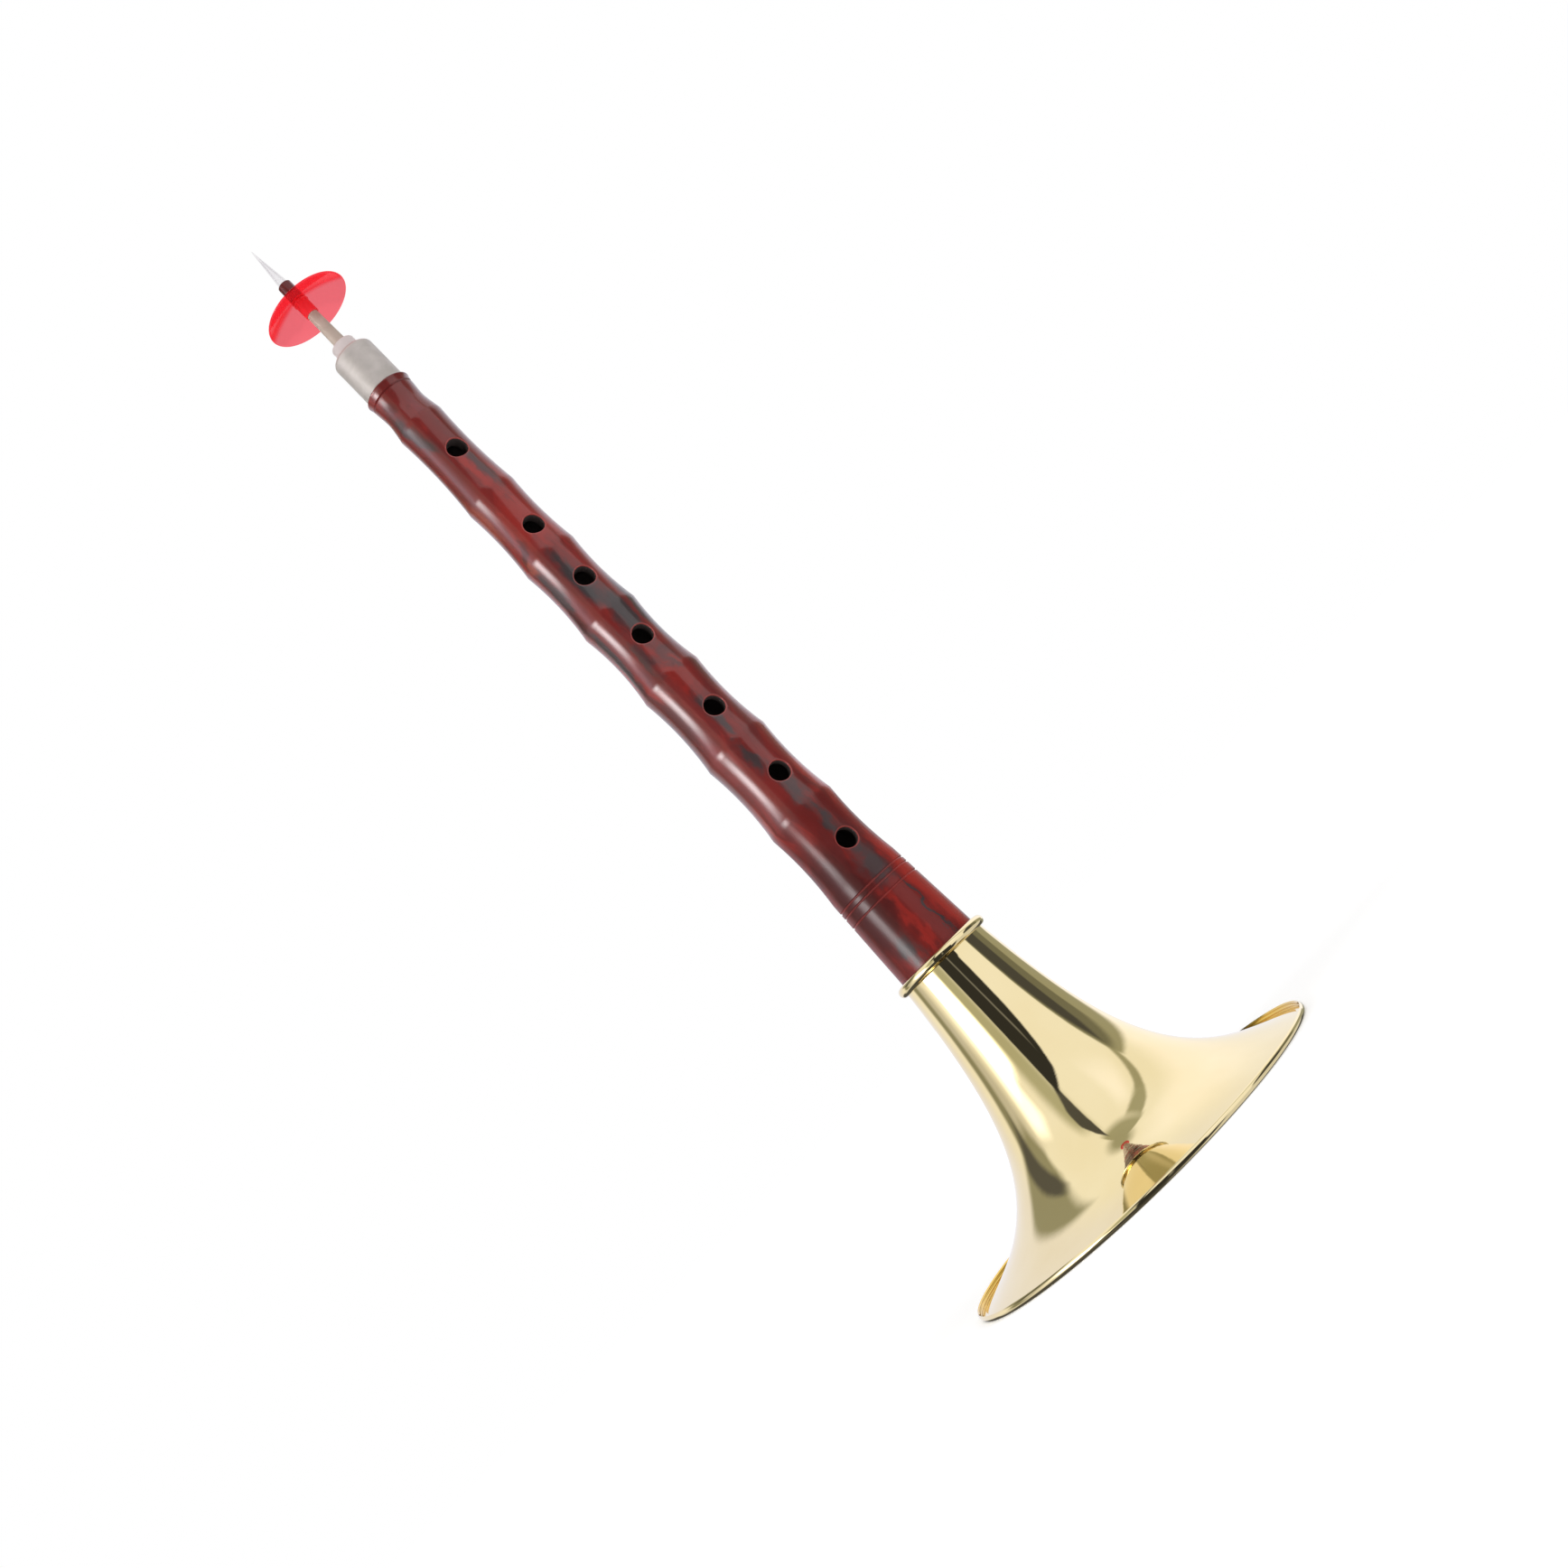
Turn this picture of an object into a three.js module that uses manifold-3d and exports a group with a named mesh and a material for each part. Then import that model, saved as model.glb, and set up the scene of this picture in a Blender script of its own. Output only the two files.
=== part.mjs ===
// A suona: a conical shawm with a spun brass bell, a knuckled wooden stem, a tuning slide,
// a metal staple, a lip disc and a double reed. Lengths are in millimetres, and +Z runs up the bore.
// The origin is the centre of the bell's mouth, in the plane that the rim stands on.
// The finger holes face -Y and the thumb hole faces +Y.
import * as THREE from "three";
import { mergeVertices } from "three/addons/utils/BufferGeometryUtils.js";
import Module from "manifold-3d";

const wasm = await Module();
wasm.setup();

// Clearances between pieces that touch on the real instrument
const fitGap = 0.3;
const fineFitGap = 0.2;
const cutOverrun = 2;

// Bell, spun from one sheet with its rim rolled up
const bellHeight = 86.45;
const rimRadius = 66.8;
const rimRollRadius = 1.2;
const rimLandWidth = 1.6;
const bellSheet = 0.6;
const neckHeight = 4.4;
const flareOffset = 15.1;
const flareExponent = 0.9;
const rollAngle = THREE.MathUtils.degToRad(150);

// Ring soldered round the bell's neck
const neckRingHeight = 3.4;
const neckRingThickness = 1.65;

// Stem, measured from its foot inside the bell up to its lip
const stemInsertion = 17.9;
const coneLength = 50.3;
const knuckledLength = 206.9;
const headLength = 16.85;
const footRadius = 15.4;
const footChamfer = 0.6;
const lowRidgeRadius = 12.9;
const topRidgeRadius = 8.65;
const knuckleDip = 1;
const lipRadius = 8.55;
const lipHeight = 3.1;
const lipRound = 0.5;
const headDip = 1;
const grooveDepth = 0.35;
const grooveWidth = 0.8;

// Bore of the stem, a cone that opens into the bell below a socket for the tuning slide
const socketDepth = 26;
const boreTopRadius = 3.7;
const boreFootRadius = 11;
const holeRadius = 3.5;

// Tuning slide
const slideTubeRadius = 4.2;
const slideTubeWall = 0.6;
const slideTubeReach = 6;
const corkThickness = 1;
const corkLength = 20;
const corkSetback = 2;
const sleeveRadius = 7.55;
const sleeveLength = 17.9;
const sleeveWall = 0.7;
const sleeveRound = 1.6;
const noseRadius = 4.33;
const noseLength = 4.75;
const noseRound = 0.5;

// Staple, a conical tube that carries the lip disc and the reed
const stapleInsertion = 14;
const stapleExposure = 15;
const stapleFootRadius = 2.6;
const stapleTipRadius = 1.75;
const stapleWall = 0.4;

// Lip disc, dished towards the reed and thinner at its rim
const discRadius = 15.8;
const discThickness = 1.1;
const discRimThickness = 0.6;
const discDome = 4.2;
const discExponent = 1.6;
const hubRadius = 2.5;
const hubLength = 7.2;

// Reed: a collar that slips on the staple, and a blade flattened to a slit at its tip
const collarRadius = 2.5;
const collarLength = 7.1;
const collarGrip = 4.6;
const collarRound = 0.3;
const bladeReach = 14.3;
const bladeWall = 0.4;
const bladeTipHalfWidth = 4.6;
const bladeTipHalfThickness = 0.32;
const slitHalfThickness = 0.12;
const reedTurn = THREE.MathUtils.degToRad(64);

// Tables of shares
const ridgeShares = [0, 0.132, 0.274, 0.419, 0.558, 0.695, 0.832, 1];
const knuckleDipShares = [0.8, 1, 1.05, 1.15, 0.95, 0.75, 0.75];
const holeShares = [0.41, 0.45, 0.43, 0.54, 0.48, 0.33, 0.51];
const coneGrooveShares = [0.809, 0.883, 0.924];
const flareStepShares = [0, 0.14, 0.28, 0.42, 0.55, 0.66, 0.75, 0.83, 0.89, 0.94, 0.98];
const headDipShare = 0.52;
const landShares = [0, 0.15, 0.85];

// Facets round each piece and along its curves
const bellFacets = 48;
const stemFacets = 36;
const slideFacets = 32;
const stapleFacets = 24;
const holeFacets = 20;
const discFacets = 36;
const roundSteps = 3;
const dipSteps = 4;
const rollSteps = 5;
const domeSteps = 5;
const bladeSteps = 6;

// Derived heights
const stemLength = coneLength + knuckledLength + headLength;
const stemFootZ = bellHeight - stemInsertion;
const stemTopZ = stemFootZ + stemLength;
const sleeveFootZ = stemTopZ + fitGap;
const sleeveTopZ = sleeveFootZ + sleeveLength;
const noseTopZ = sleeveTopZ + noseLength;
const stapleFootZ = noseTopZ - stapleInsertion;
const hubFootZ = noseTopZ + stapleExposure;
const collarFootZ = hubFootZ + hubLength + fitGap;
const stapleLength = collarFootZ + collarGrip - stapleFootZ;
const bladeRoot = collarLength - collarGrip - fitGap;
const bladeLength = bladeRoot + bladeReach;

// Derived radii
const socketRadius = slideTubeRadius + corkThickness + 2 * fitGap;
const bushRadius = sleeveRadius - sleeveWall - fitGap;

const { lerp } = THREE.MathUtils;
const point = (radius, height) => new THREE.Vector2(radius, height);

// Radius of the staple's outside at a height above its foot.
function stapleRadius(height) {
  return lerp(stapleFootRadius, stapleTipRadius, height / stapleLength);
}

// Radius of the stem's lowest, smooth cone at a height above its foot.
function coneRadius(height) {
  return lerp(footRadius, lowRidgeRadius, height / coneLength);
}

// Radius of the bell's seat on the stem, halfway through the sheet.
function neckRadius(height) {
  return coneRadius(height - stemFootZ) + fitGap + bellSheet / 2;
}

// The horn curve: radius of the flare at a height, halfway through the sheet.
function flareRadius(height) {
  const neckFoot = bellHeight - neckHeight;
  const mouthRadius = rimRadius - rimRollRadius - rimLandWidth;
  const horn = (h) => Math.pow((h + flareOffset) / flareOffset, -flareExponent);
  const share = (horn(height) - horn(neckFoot)) / (horn(bellSheet / 2) - horn(neckFoot));
  return lerp(neckRadius(neckFoot), mouthRadius, share);
}

// A quarter turn, or another arc, about a centre in the profile's plane.
function arc(centre, radius, from, to, steps) {
  const curve = new THREE.EllipseCurve(centre.x, centre.y, radius, radius, from, to, to < from);
  return curve.getPoints(steps);
}

// The same run of points, moved sideways by a distance that may change along it.
function offsetRun(run, startDistance, endDistance = startDistance) {
  const last = run.length - 1;
  return run.map((here, i) => {
    const before = run[Math.max(i - 1, 0)];
    const after = run[Math.min(i + 1, last)];
    const along = after.clone().sub(before).normalize();
    const distance = lerp(startDistance, endDistance, i / last);
    return point(here.x + along.y * distance, here.y - along.x * distance);
  });
}

// A ring turned from a closed profile, with its faces pointing out and +Z as its axis.
function turned(profile, facets) {
  const closed = THREE.ShapeUtils.isClockWise(profile) ? [...profile].reverse() : [...profile];
  closed.push(closed[0].clone());
  return new THREE.LatheGeometry(closed, facets).rotateX(Math.PI / 2);
}

function toSolid(geometry) {
  const bare = geometry.clone();
  bare.deleteAttribute("normal");
  bare.deleteAttribute("uv");
  const merged = mergeVertices(bare);
  return new wasm.Manifold(
    new wasm.Mesh({
      numProp: 3,
      vertProperties: merged.attributes.position.array,
      triVerts: new Uint32Array(merged.index.array),
    }),
  );
}

function toGeometry(solid) {
  const mesh = solid.getMesh();
  const geometry = new THREE.BufferGeometry();
  geometry.setAttribute("position", new THREE.BufferAttribute(mesh.vertProperties, mesh.numProp));
  geometry.setIndex(new THREE.BufferAttribute(mesh.triVerts, 1));
  geometry.computeVertexNormals();
  return geometry;
}

function piece(name, geometry, material) {
  const mesh = new THREE.Mesh(geometry, material);
  mesh.name = name;
  return mesh;
}

const finish = (color, roughness, metalness, more = {}) =>
  new THREE.MeshStandardMaterial({ color, roughness, metalness, ...more });

const materials = {
  bellBrass: finish(0xdccb96, 0.12, 1),
  lacqueredWood: finish(0x6e2420, 0.25, 0),
  nickel: finish(0xbdb6ae, 0.35, 1),
  bush: finish(0xc8bebc, 0.5, 0),
  tubeBrass: finish(0xb59a5a, 0.3, 1),
  cork: finish(0xb88a5a, 0.9, 0),
  stapleMetal: finish(0xb3a48e, 0.35, 1),
  discPlastic: finish(0xf03548, 0.15, 0, { transparent: true, opacity: 0.8 }),
  collar: finish(0x5a1c1c, 0.2, 0),
  reed: finish(0xf0efec, 0.4, 0, { transparent: true, opacity: 0.9 }),
};

// The bell's sheet, from the top of the neck down the flare, across the land and round the roll.
function bellRun() {
  const neckFoot = bellHeight - neckHeight;
  const mid = bellSheet / 2;
  const rollCentre = point(rimRadius - rimRollRadius, rimRollRadius);
  const neck = [point(neckRadius(bellHeight), bellHeight)];
  const flare = flareStepShares.map((share) => {
    const height = lerp(neckFoot, mid, share);
    return point(flareRadius(height), height);
  });
  const land = landShares.map((share) => point(rollCentre.x - rimLandWidth * (1 - share), mid));
  const down = -Math.PI / 2;
  const roll = arc(rollCentre, rimRollRadius - mid, down, down + rollAngle, rollSteps);
  return [...neck, ...flare, ...land, ...roll];
}

function makeBell() {
  const run = bellRun();
  const stemSide = offsetRun(run, -bellSheet / 2);
  const mouthSide = offsetRun(run, bellSheet / 2);
  const profile = [...stemSide, ...mouthSide.reverse()];
  return piece("bell", turned(profile, bellFacets), materials.bellBrass);
}

// A half-round bead whose bore follows the outside of the neck.
function makeNeckRing() {
  const outside = (height) => neckRadius(height) + bellSheet / 2 + fitGap;
  const foot = bellHeight - neckRingHeight;
  const bulge = new THREE.EllipseCurve(
    outside(foot),
    foot + neckRingHeight / 2,
    neckRingThickness,
    neckRingHeight / 2,
    -Math.PI / 2,
    Math.PI / 2,
  );
  const bead = bulge.getPoints(2 * roundSteps);
  bead.pop();
  const profile = [...bead, point(outside(bellHeight), bellHeight)];
  return piece("bell_neck_ring", turned(profile, bellFacets), materials.bellBrass);
}

// Heights of the ridges above the foot, lowest first, and the radius of each.
function ridges() {
  return ridgeShares.map((share) =>
    point(lerp(lowRidgeRadius, topRidgeRadius, share), coneLength + share * knuckledLength),
  );
}

// The smooth cone inside and just above the bell, with its turned lines.
function coneProfile() {
  const foot = [
    point(coneRadius(0) - footChamfer, 0),
    point(coneRadius(footChamfer), footChamfer),
  ];
  const grooves = coneGrooveShares.flatMap((share) => {
    const height = share * coneLength;
    return [
      point(coneRadius(height - grooveWidth / 2), height - grooveWidth / 2),
      point(coneRadius(height) - grooveDepth, height),
      point(coneRadius(height + grooveWidth / 2), height + grooveWidth / 2),
    ];
  });
  return [...foot, ...grooves];
}

// The ridges with a hollow between each two.
function knuckleProfile() {
  const crests = ridges();
  const profile = [crests[0]];
  knuckleDipShares.forEach((dipShare, i) => {
    for (let step = 1; step <= dipSteps; step += 1) {
      const share = step / dipSteps;
      const next = crests[i].clone().lerp(crests[i + 1], share);
      next.x -= knuckleDip * dipShare * 4 * share * (1 - share);
      profile.push(next);
    }
  });
  return profile;
}

// The hollow above the top ridge, the fine line under the lip and the lip, which widens upwards.
function headProfile() {
  const ridge = point(topRidgeRadius, stemLength - headLength);
  const lipFoot = stemLength - lipHeight;
  const dip = point(topRidgeRadius - headDip, lerp(ridge.y, lipFoot, headDipShare));
  const shoulder = point(lipRadius - lipRound, lipFoot - grooveWidth / 2);
  const hollow = new THREE.SplineCurve([ridge, dip, shoulder]).getPoints(dipSteps + 1);
  const line = point(lipRadius - lipRound - grooveDepth, lipFoot);
  const lipStart = point(lipRadius - lipRound, lipFoot + grooveWidth / 2);
  const topCentre = point(lipRadius - lipRound, stemLength - lipRound);
  const top = arc(topCentre, lipRound, 0, Math.PI / 2, roundSteps);
  return [...hollow.slice(1), line, lipStart, ...top];
}

// Radius of the stem's bore at a height above its foot, below the socket.
function boreRadius(height) {
  return lerp(boreFootRadius, boreTopRadius, height / (stemLength - socketDepth));
}

function makeStem() {
  const socketFloor = stemLength - socketDepth;
  const bore = [
    point(socketRadius, stemLength),
    point(socketRadius, socketFloor),
    point(boreRadius(socketFloor), socketFloor),
    point(boreRadius(0), 0),
  ];
  const profile = [...coneProfile(), ...knuckleProfile(), ...headProfile(), ...bore];
  let solid = toSolid(turned(profile, stemFacets));
  for (const hole of holeCutters()) {
    solid = solid.subtract(toSolid(hole));
  }
  return piece("stem", toGeometry(solid), materials.lacqueredWood);
}

// One round cutter through the front wall in each hollow, and one through the back wall.
function holeCutters() {
  const reach = footRadius + cutOverrun;
  const cutter = (height, side) =>
    new THREE.CylinderGeometry(holeRadius, holeRadius, reach, holeFacets).translate(
      0,
      (side * reach) / 2,
      height,
    );
  const crests = ridges();
  const heights = holeShares.map((share, i) => lerp(crests[i].y, crests[i + 1].y, share));
  const [second, first] = heights.slice(-2);
  return [...heights.map((height) => cutter(height, -1)), cutter((first + second) / 2, 1)];
}

// The tube that slides in the stem's socket and carries the bush.
function makeSlideTube() {
  const foot = -(socketDepth - 2 * fitGap);
  const top = slideTubeReach;
  const profile = [
    point(slideTubeRadius, foot),
    point(slideTubeRadius, top),
    point(slideTubeRadius - slideTubeWall, top),
    point(slideTubeRadius - slideTubeWall, foot),
  ];
  return piece("slide_tube", turned(profile, slideFacets), materials.tubeBrass);
}

// The cork that grips the socket.
function makeSlideCork() {
  const bore = slideTubeRadius + fitGap;
  const top = -corkSetback;
  const foot = top - corkLength;
  const edge = corkThickness / 2;
  const profile = [
    point(bore, foot),
    point(bore + edge, foot),
    point(bore + corkThickness, foot + edge),
    point(bore + corkThickness, top),
    point(bore, top),
  ];
  return piece("slide_cork", turned(profile, slideFacets), materials.cork);
}

// A drawn metal shell, open below, with a hole for the nose of the bush on top.
function makeSleeve() {
  const roundCentre = point(sleeveRadius - sleeveRound, sleeveLength - sleeveRound);
  const outer = arc(roundCentre, sleeveRound, 0, Math.PI / 2, 2 * roundSteps);
  const profile = [
    point(sleeveRadius, 0),
    ...outer,
    point(noseRadius + fitGap, sleeveLength),
    point(noseRadius + fitGap, sleeveLength - sleeveWall),
    ...arc(roundCentre, sleeveRound - sleeveWall, Math.PI / 2, 0, roundSteps),
    point(sleeveRadius - sleeveWall, 0),
  ];
  return piece("slide_sleeve", turned(profile, slideFacets), materials.nickel);
}

// The bush that fills the sleeve: its nose holds the staple and its foot sits on the slide tube.
function makeBush() {
  const shoulder = sleeveLength - sleeveWall - fitGap;
  const noseTop = sleeveLength + noseLength;
  const roundCentre = point(noseRadius - noseRound, noseTop - noseRound);
  const ledge = slideTubeReach + fitGap;
  const stapleBore = (height) => stapleRadius(height - (noseTop - stapleInsertion)) + fitGap;
  const profile = [
    point(bushRadius, 0),
    point(bushRadius, shoulder - sleeveRound),
    point(bushRadius - sleeveRound, shoulder),
    point(noseRadius, shoulder),
    ...arc(roundCentre, noseRound, 0, Math.PI / 2, roundSteps),
    point(stapleBore(noseTop), noseTop),
    point(stapleBore(ledge), ledge),
    point(slideTubeRadius + fitGap, ledge),
    point(slideTubeRadius + fitGap, 0),
  ];
  return piece("seat_bush", turned(profile, slideFacets), materials.bush);
}

function makeStaple() {
  const profile = [
    point(stapleRadius(0), 0),
    point(stapleRadius(stapleLength), stapleLength),
    point(stapleRadius(stapleLength) - stapleWall, stapleLength),
    point(stapleRadius(0) - stapleWall, 0),
  ];
  return piece("staple", turned(profile, stapleFacets), materials.stapleMetal);
}

// A thin dished disc on a hub that grips the staple's cone.
function makeLipDisc() {
  const hubHalf = discThickness / 2;
  const rimHalf = discRimThickness / 2;
  const crown = hubLength - hubHalf;
  const bore = (height) => stapleRadius(hubFootZ + height - stapleFootZ) + fineFitGap;
  const dish = [];
  for (let step = 0; step <= domeSteps; step += 1) {
    const radius = lerp(hubRadius, discRadius - rimHalf, step / domeSteps);
    const share = (radius - hubRadius) / (discRadius - hubRadius);
    dish.push(point(radius, crown - discDome * Math.pow(share, discExponent)));
  }
  const edge = dish[dish.length - 1];
  const slope = Math.atan2(-discExponent * discDome, discRadius - hubRadius);
  const rim = arc(edge, rimHalf, slope + Math.PI / 2, slope - Math.PI / 2, roundSteps);
  const above = offsetRun(dish, -hubHalf, -rimHalf).slice(1, -1);
  const below = offsetRun(dish, hubHalf, rimHalf).slice(0, -1).reverse();
  const profile = [
    point(bore(hubLength), hubLength),
    point(hubRadius, hubLength),
    ...above,
    ...rim,
    ...below,
    point(hubRadius, 0),
    point(bore(0), 0),
  ];
  return piece("lip_disc", turned(profile, discFacets), materials.discPlastic);
}

function makeReedCollar() {
  const bore = stapleRadius(collarFootZ - stapleFootZ) + fineFitGap;
  const footCentre = point(collarRadius - collarRound, collarRound);
  const topCentre = point(collarRadius - collarRound, collarLength - collarRound);
  const profile = [
    ...arc(footCentre, collarRound, -Math.PI / 2, 0, roundSteps),
    ...arc(topCentre, collarRound, 0, Math.PI / 2, roundSteps),
    point(bore, collarLength),
    point(bore, 0),
  ];
  return piece("reed_collar", turned(profile, stapleFacets), materials.collar);
}

// A tube that is round in the collar and flattens to a wide slit at the tip.
function makeReedBlade() {
  const rootRadius = stapleRadius(collarFootZ - stapleFootZ);
  const boreAtRoot = rootRadius - bladeWall;
  const heights = [0];
  for (let step = 0; step <= bladeSteps; step += 1) {
    heights.push(lerp(bladeRoot, bladeLength, step / bladeSteps));
  }
  const outer = heights.map((height) => point(rootRadius, height));
  const inner = heights.map((height) => point(boreAtRoot, height)).reverse();
  const geometry = turned([...outer, ...inner], stapleFacets);
  const position = geometry.attributes.position;
  for (let i = 0; i < position.count; i += 1) {
    const height = position.getZ(i);
    const share = Math.max(0, (height - bladeRoot) / (bladeLength - bladeRoot));
    const radius = Math.hypot(position.getX(i), position.getY(i));
    const isOuter = radius > (rootRadius + boreAtRoot) / 2;
    const tipWidth = isOuter ? bladeTipHalfWidth : bladeTipHalfWidth - bladeWall;
    const tipThickness = isOuter ? bladeTipHalfThickness : slitHalfThickness;
    const widen = lerp(radius, tipWidth, share) / radius;
    const flatten = lerp(radius, tipThickness, share) / radius;
    position.setX(i, position.getX(i) * widen);
    position.setY(i, position.getY(i) * flatten);
  }
  return piece("reed_blade", geometry, materials.reed);
}

// A group whose pieces are drawn from a height of their own.
function assembly(height, pieces) {
  const group = new THREE.Group();
  group.position.z = height;
  group.add(...pieces);
  return group;
}

const bellGroup = assembly(0, [makeBell(), makeNeckRing()]);
const stemGroup = assembly(stemFootZ, [makeStem()]);
const slideGroup = assembly(sleeveFootZ, [
  makeSlideTube(),
  makeSlideCork(),
  makeSleeve(),
  makeBush(),
]);
const stapleGroup = assembly(stapleFootZ, [makeStaple()]);
const discGroup = assembly(hubFootZ, [makeLipDisc()]);

const blade = makeReedBlade();
blade.position.z = collarLength - bladeRoot;
const reedGroup = assembly(collarFootZ, [makeReedCollar(), blade]);
reedGroup.rotation.z = reedTurn;

const suona = new THREE.Group();
suona.add(bellGroup, stemGroup, slideGroup, stapleGroup, discGroup, reedGroup);

export default suona;
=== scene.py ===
"""A suona dressed for its studio portrait.

Every turned piece is drawn as a closed profile and spun about the bore. Sizes are in
millimetres, heights run up from the plane that the bell's rim stands on, and the finger
holes face -Y.
"""

import logging
import math
from dataclasses import dataclass
from enum import Enum
from typing import Callable

import bmesh
import bpy
from mathutils import Matrix, Vector


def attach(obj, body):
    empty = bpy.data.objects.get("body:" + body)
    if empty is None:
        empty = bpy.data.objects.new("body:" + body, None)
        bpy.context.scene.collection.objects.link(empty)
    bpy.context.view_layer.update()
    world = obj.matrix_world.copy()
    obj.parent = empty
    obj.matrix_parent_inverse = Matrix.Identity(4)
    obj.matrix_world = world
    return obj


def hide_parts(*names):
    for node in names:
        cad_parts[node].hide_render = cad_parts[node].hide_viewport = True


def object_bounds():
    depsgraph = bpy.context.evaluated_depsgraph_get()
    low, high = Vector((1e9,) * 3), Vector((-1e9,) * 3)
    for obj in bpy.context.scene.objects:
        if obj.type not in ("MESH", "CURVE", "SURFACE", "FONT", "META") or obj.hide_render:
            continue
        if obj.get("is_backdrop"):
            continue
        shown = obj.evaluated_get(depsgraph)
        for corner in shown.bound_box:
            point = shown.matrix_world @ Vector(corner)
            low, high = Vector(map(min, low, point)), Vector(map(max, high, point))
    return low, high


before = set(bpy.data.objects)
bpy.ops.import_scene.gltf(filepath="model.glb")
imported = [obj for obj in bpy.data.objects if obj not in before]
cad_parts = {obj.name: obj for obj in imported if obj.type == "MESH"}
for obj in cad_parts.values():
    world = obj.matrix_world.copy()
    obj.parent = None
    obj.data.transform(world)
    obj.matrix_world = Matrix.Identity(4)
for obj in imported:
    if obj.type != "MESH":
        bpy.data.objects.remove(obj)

LOG = logging.getLogger("suona")
MM = 0.001
FULL_TURN = 2 * math.pi

Point = tuple[float, float]
Colour = tuple[float, float, float]
Socket = bpy.types.NodeSocket


class Body(Enum):
    """The moving bodies that pieces ride on."""

    STEM = "stem"
    BELL = "bell"
    TUNING_SLIDE = "tuning_slide"
    STAPLE = "staple"
    LIP_DISC = "lip_disc"
    REED = "reed"


class Slot(Enum):
    """The finishes that the record names."""

    BELL_BRASS = "bell_brass"
    LACQUERED_WOOD = "lacquered_wood"
    NICKEL = "nickel"
    BUSH_PLASTIC = "bush_plastic"
    TUBE_BRASS = "tube_brass"
    CORK = "cork"
    STAPLE_METAL = "staple_metal"
    DISC_PLASTIC = "disc_plastic"
    COLLAR_PLASTIC = "collar_plastic"
    REED_PLASTIC = "reed_plastic"


def lerp(start: float, end: float, share: float) -> float:
    """Returns the value that lies a share of the way from start to end."""
    return start + (end - start) * share


def arc(centre: Point, radius: float, start: float, end: float, steps: int) -> list[Point]:
    """Points along an arc.

    Args:
        centre: Centre of the arc as radius and height.
        radius: Radius of the arc.
        start: First angle in degrees, from the outward direction towards up.
        end: Last angle in degrees.
        steps: Number of steps along the arc.

    Returns:
        The points, both ends included.
    """
    angles = [math.radians(lerp(start, end, i / steps)) for i in range(steps + 1)]
    return [
        (centre[0] + radius * math.cos(a), centre[1] + radius * math.sin(a)) for a in angles
    ]


def offset_run(run: list[Point], start: float, end: float | None = None) -> list[Point]:
    """Moves a run of points sideways, to the right of the direction of travel.

    Args:
        run: Points as radius and height.
        start: Distance to move the first point.
        end: Distance to move the last point, the same as the first if left out.

    Returns:
        The moved points.
    """
    moved = []
    last = len(run) - 1
    for i, (radius, height) in enumerate(run):
        before, after = run[max(i - 1, 0)], run[min(i + 1, last)]
        along = Vector((after[0] - before[0], after[1] - before[1])).normalized()
        distance = lerp(start, start if end is None else end, i / last)
        moved.append((radius + along.y * distance, height - along.x * distance))
    return moved


def curve_through(points: list[Point], steps: int) -> list[Point]:
    """A smooth curve through a few points.

    Args:
        points: Points to pass through.
        steps: Steps between each two of them.

    Returns:
        The points of the curve, both ends included.
    """
    curve = []
    ends = [points[0], *points, points[-1]]
    for before, here, there, after in zip(ends, ends[1:], ends[2:], ends[3:]):
        for step in range(steps):
            t = step / steps
            pull = [(there[k] - before[k]) / 2 for k in (0, 1)]
            push = [(after[k] - here[k]) / 2 for k in (0, 1)]
            curve.append(
                tuple(
                    (2 * here[k] - 2 * there[k] + pull[k] + push[k]) * t**3
                    + (3 * there[k] - 3 * here[k] - 2 * pull[k] - push[k]) * t**2
                    + pull[k] * t
                    + here[k]
                    for k in (0, 1)
                )
            )
    return [*curve, points[-1]]


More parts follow.
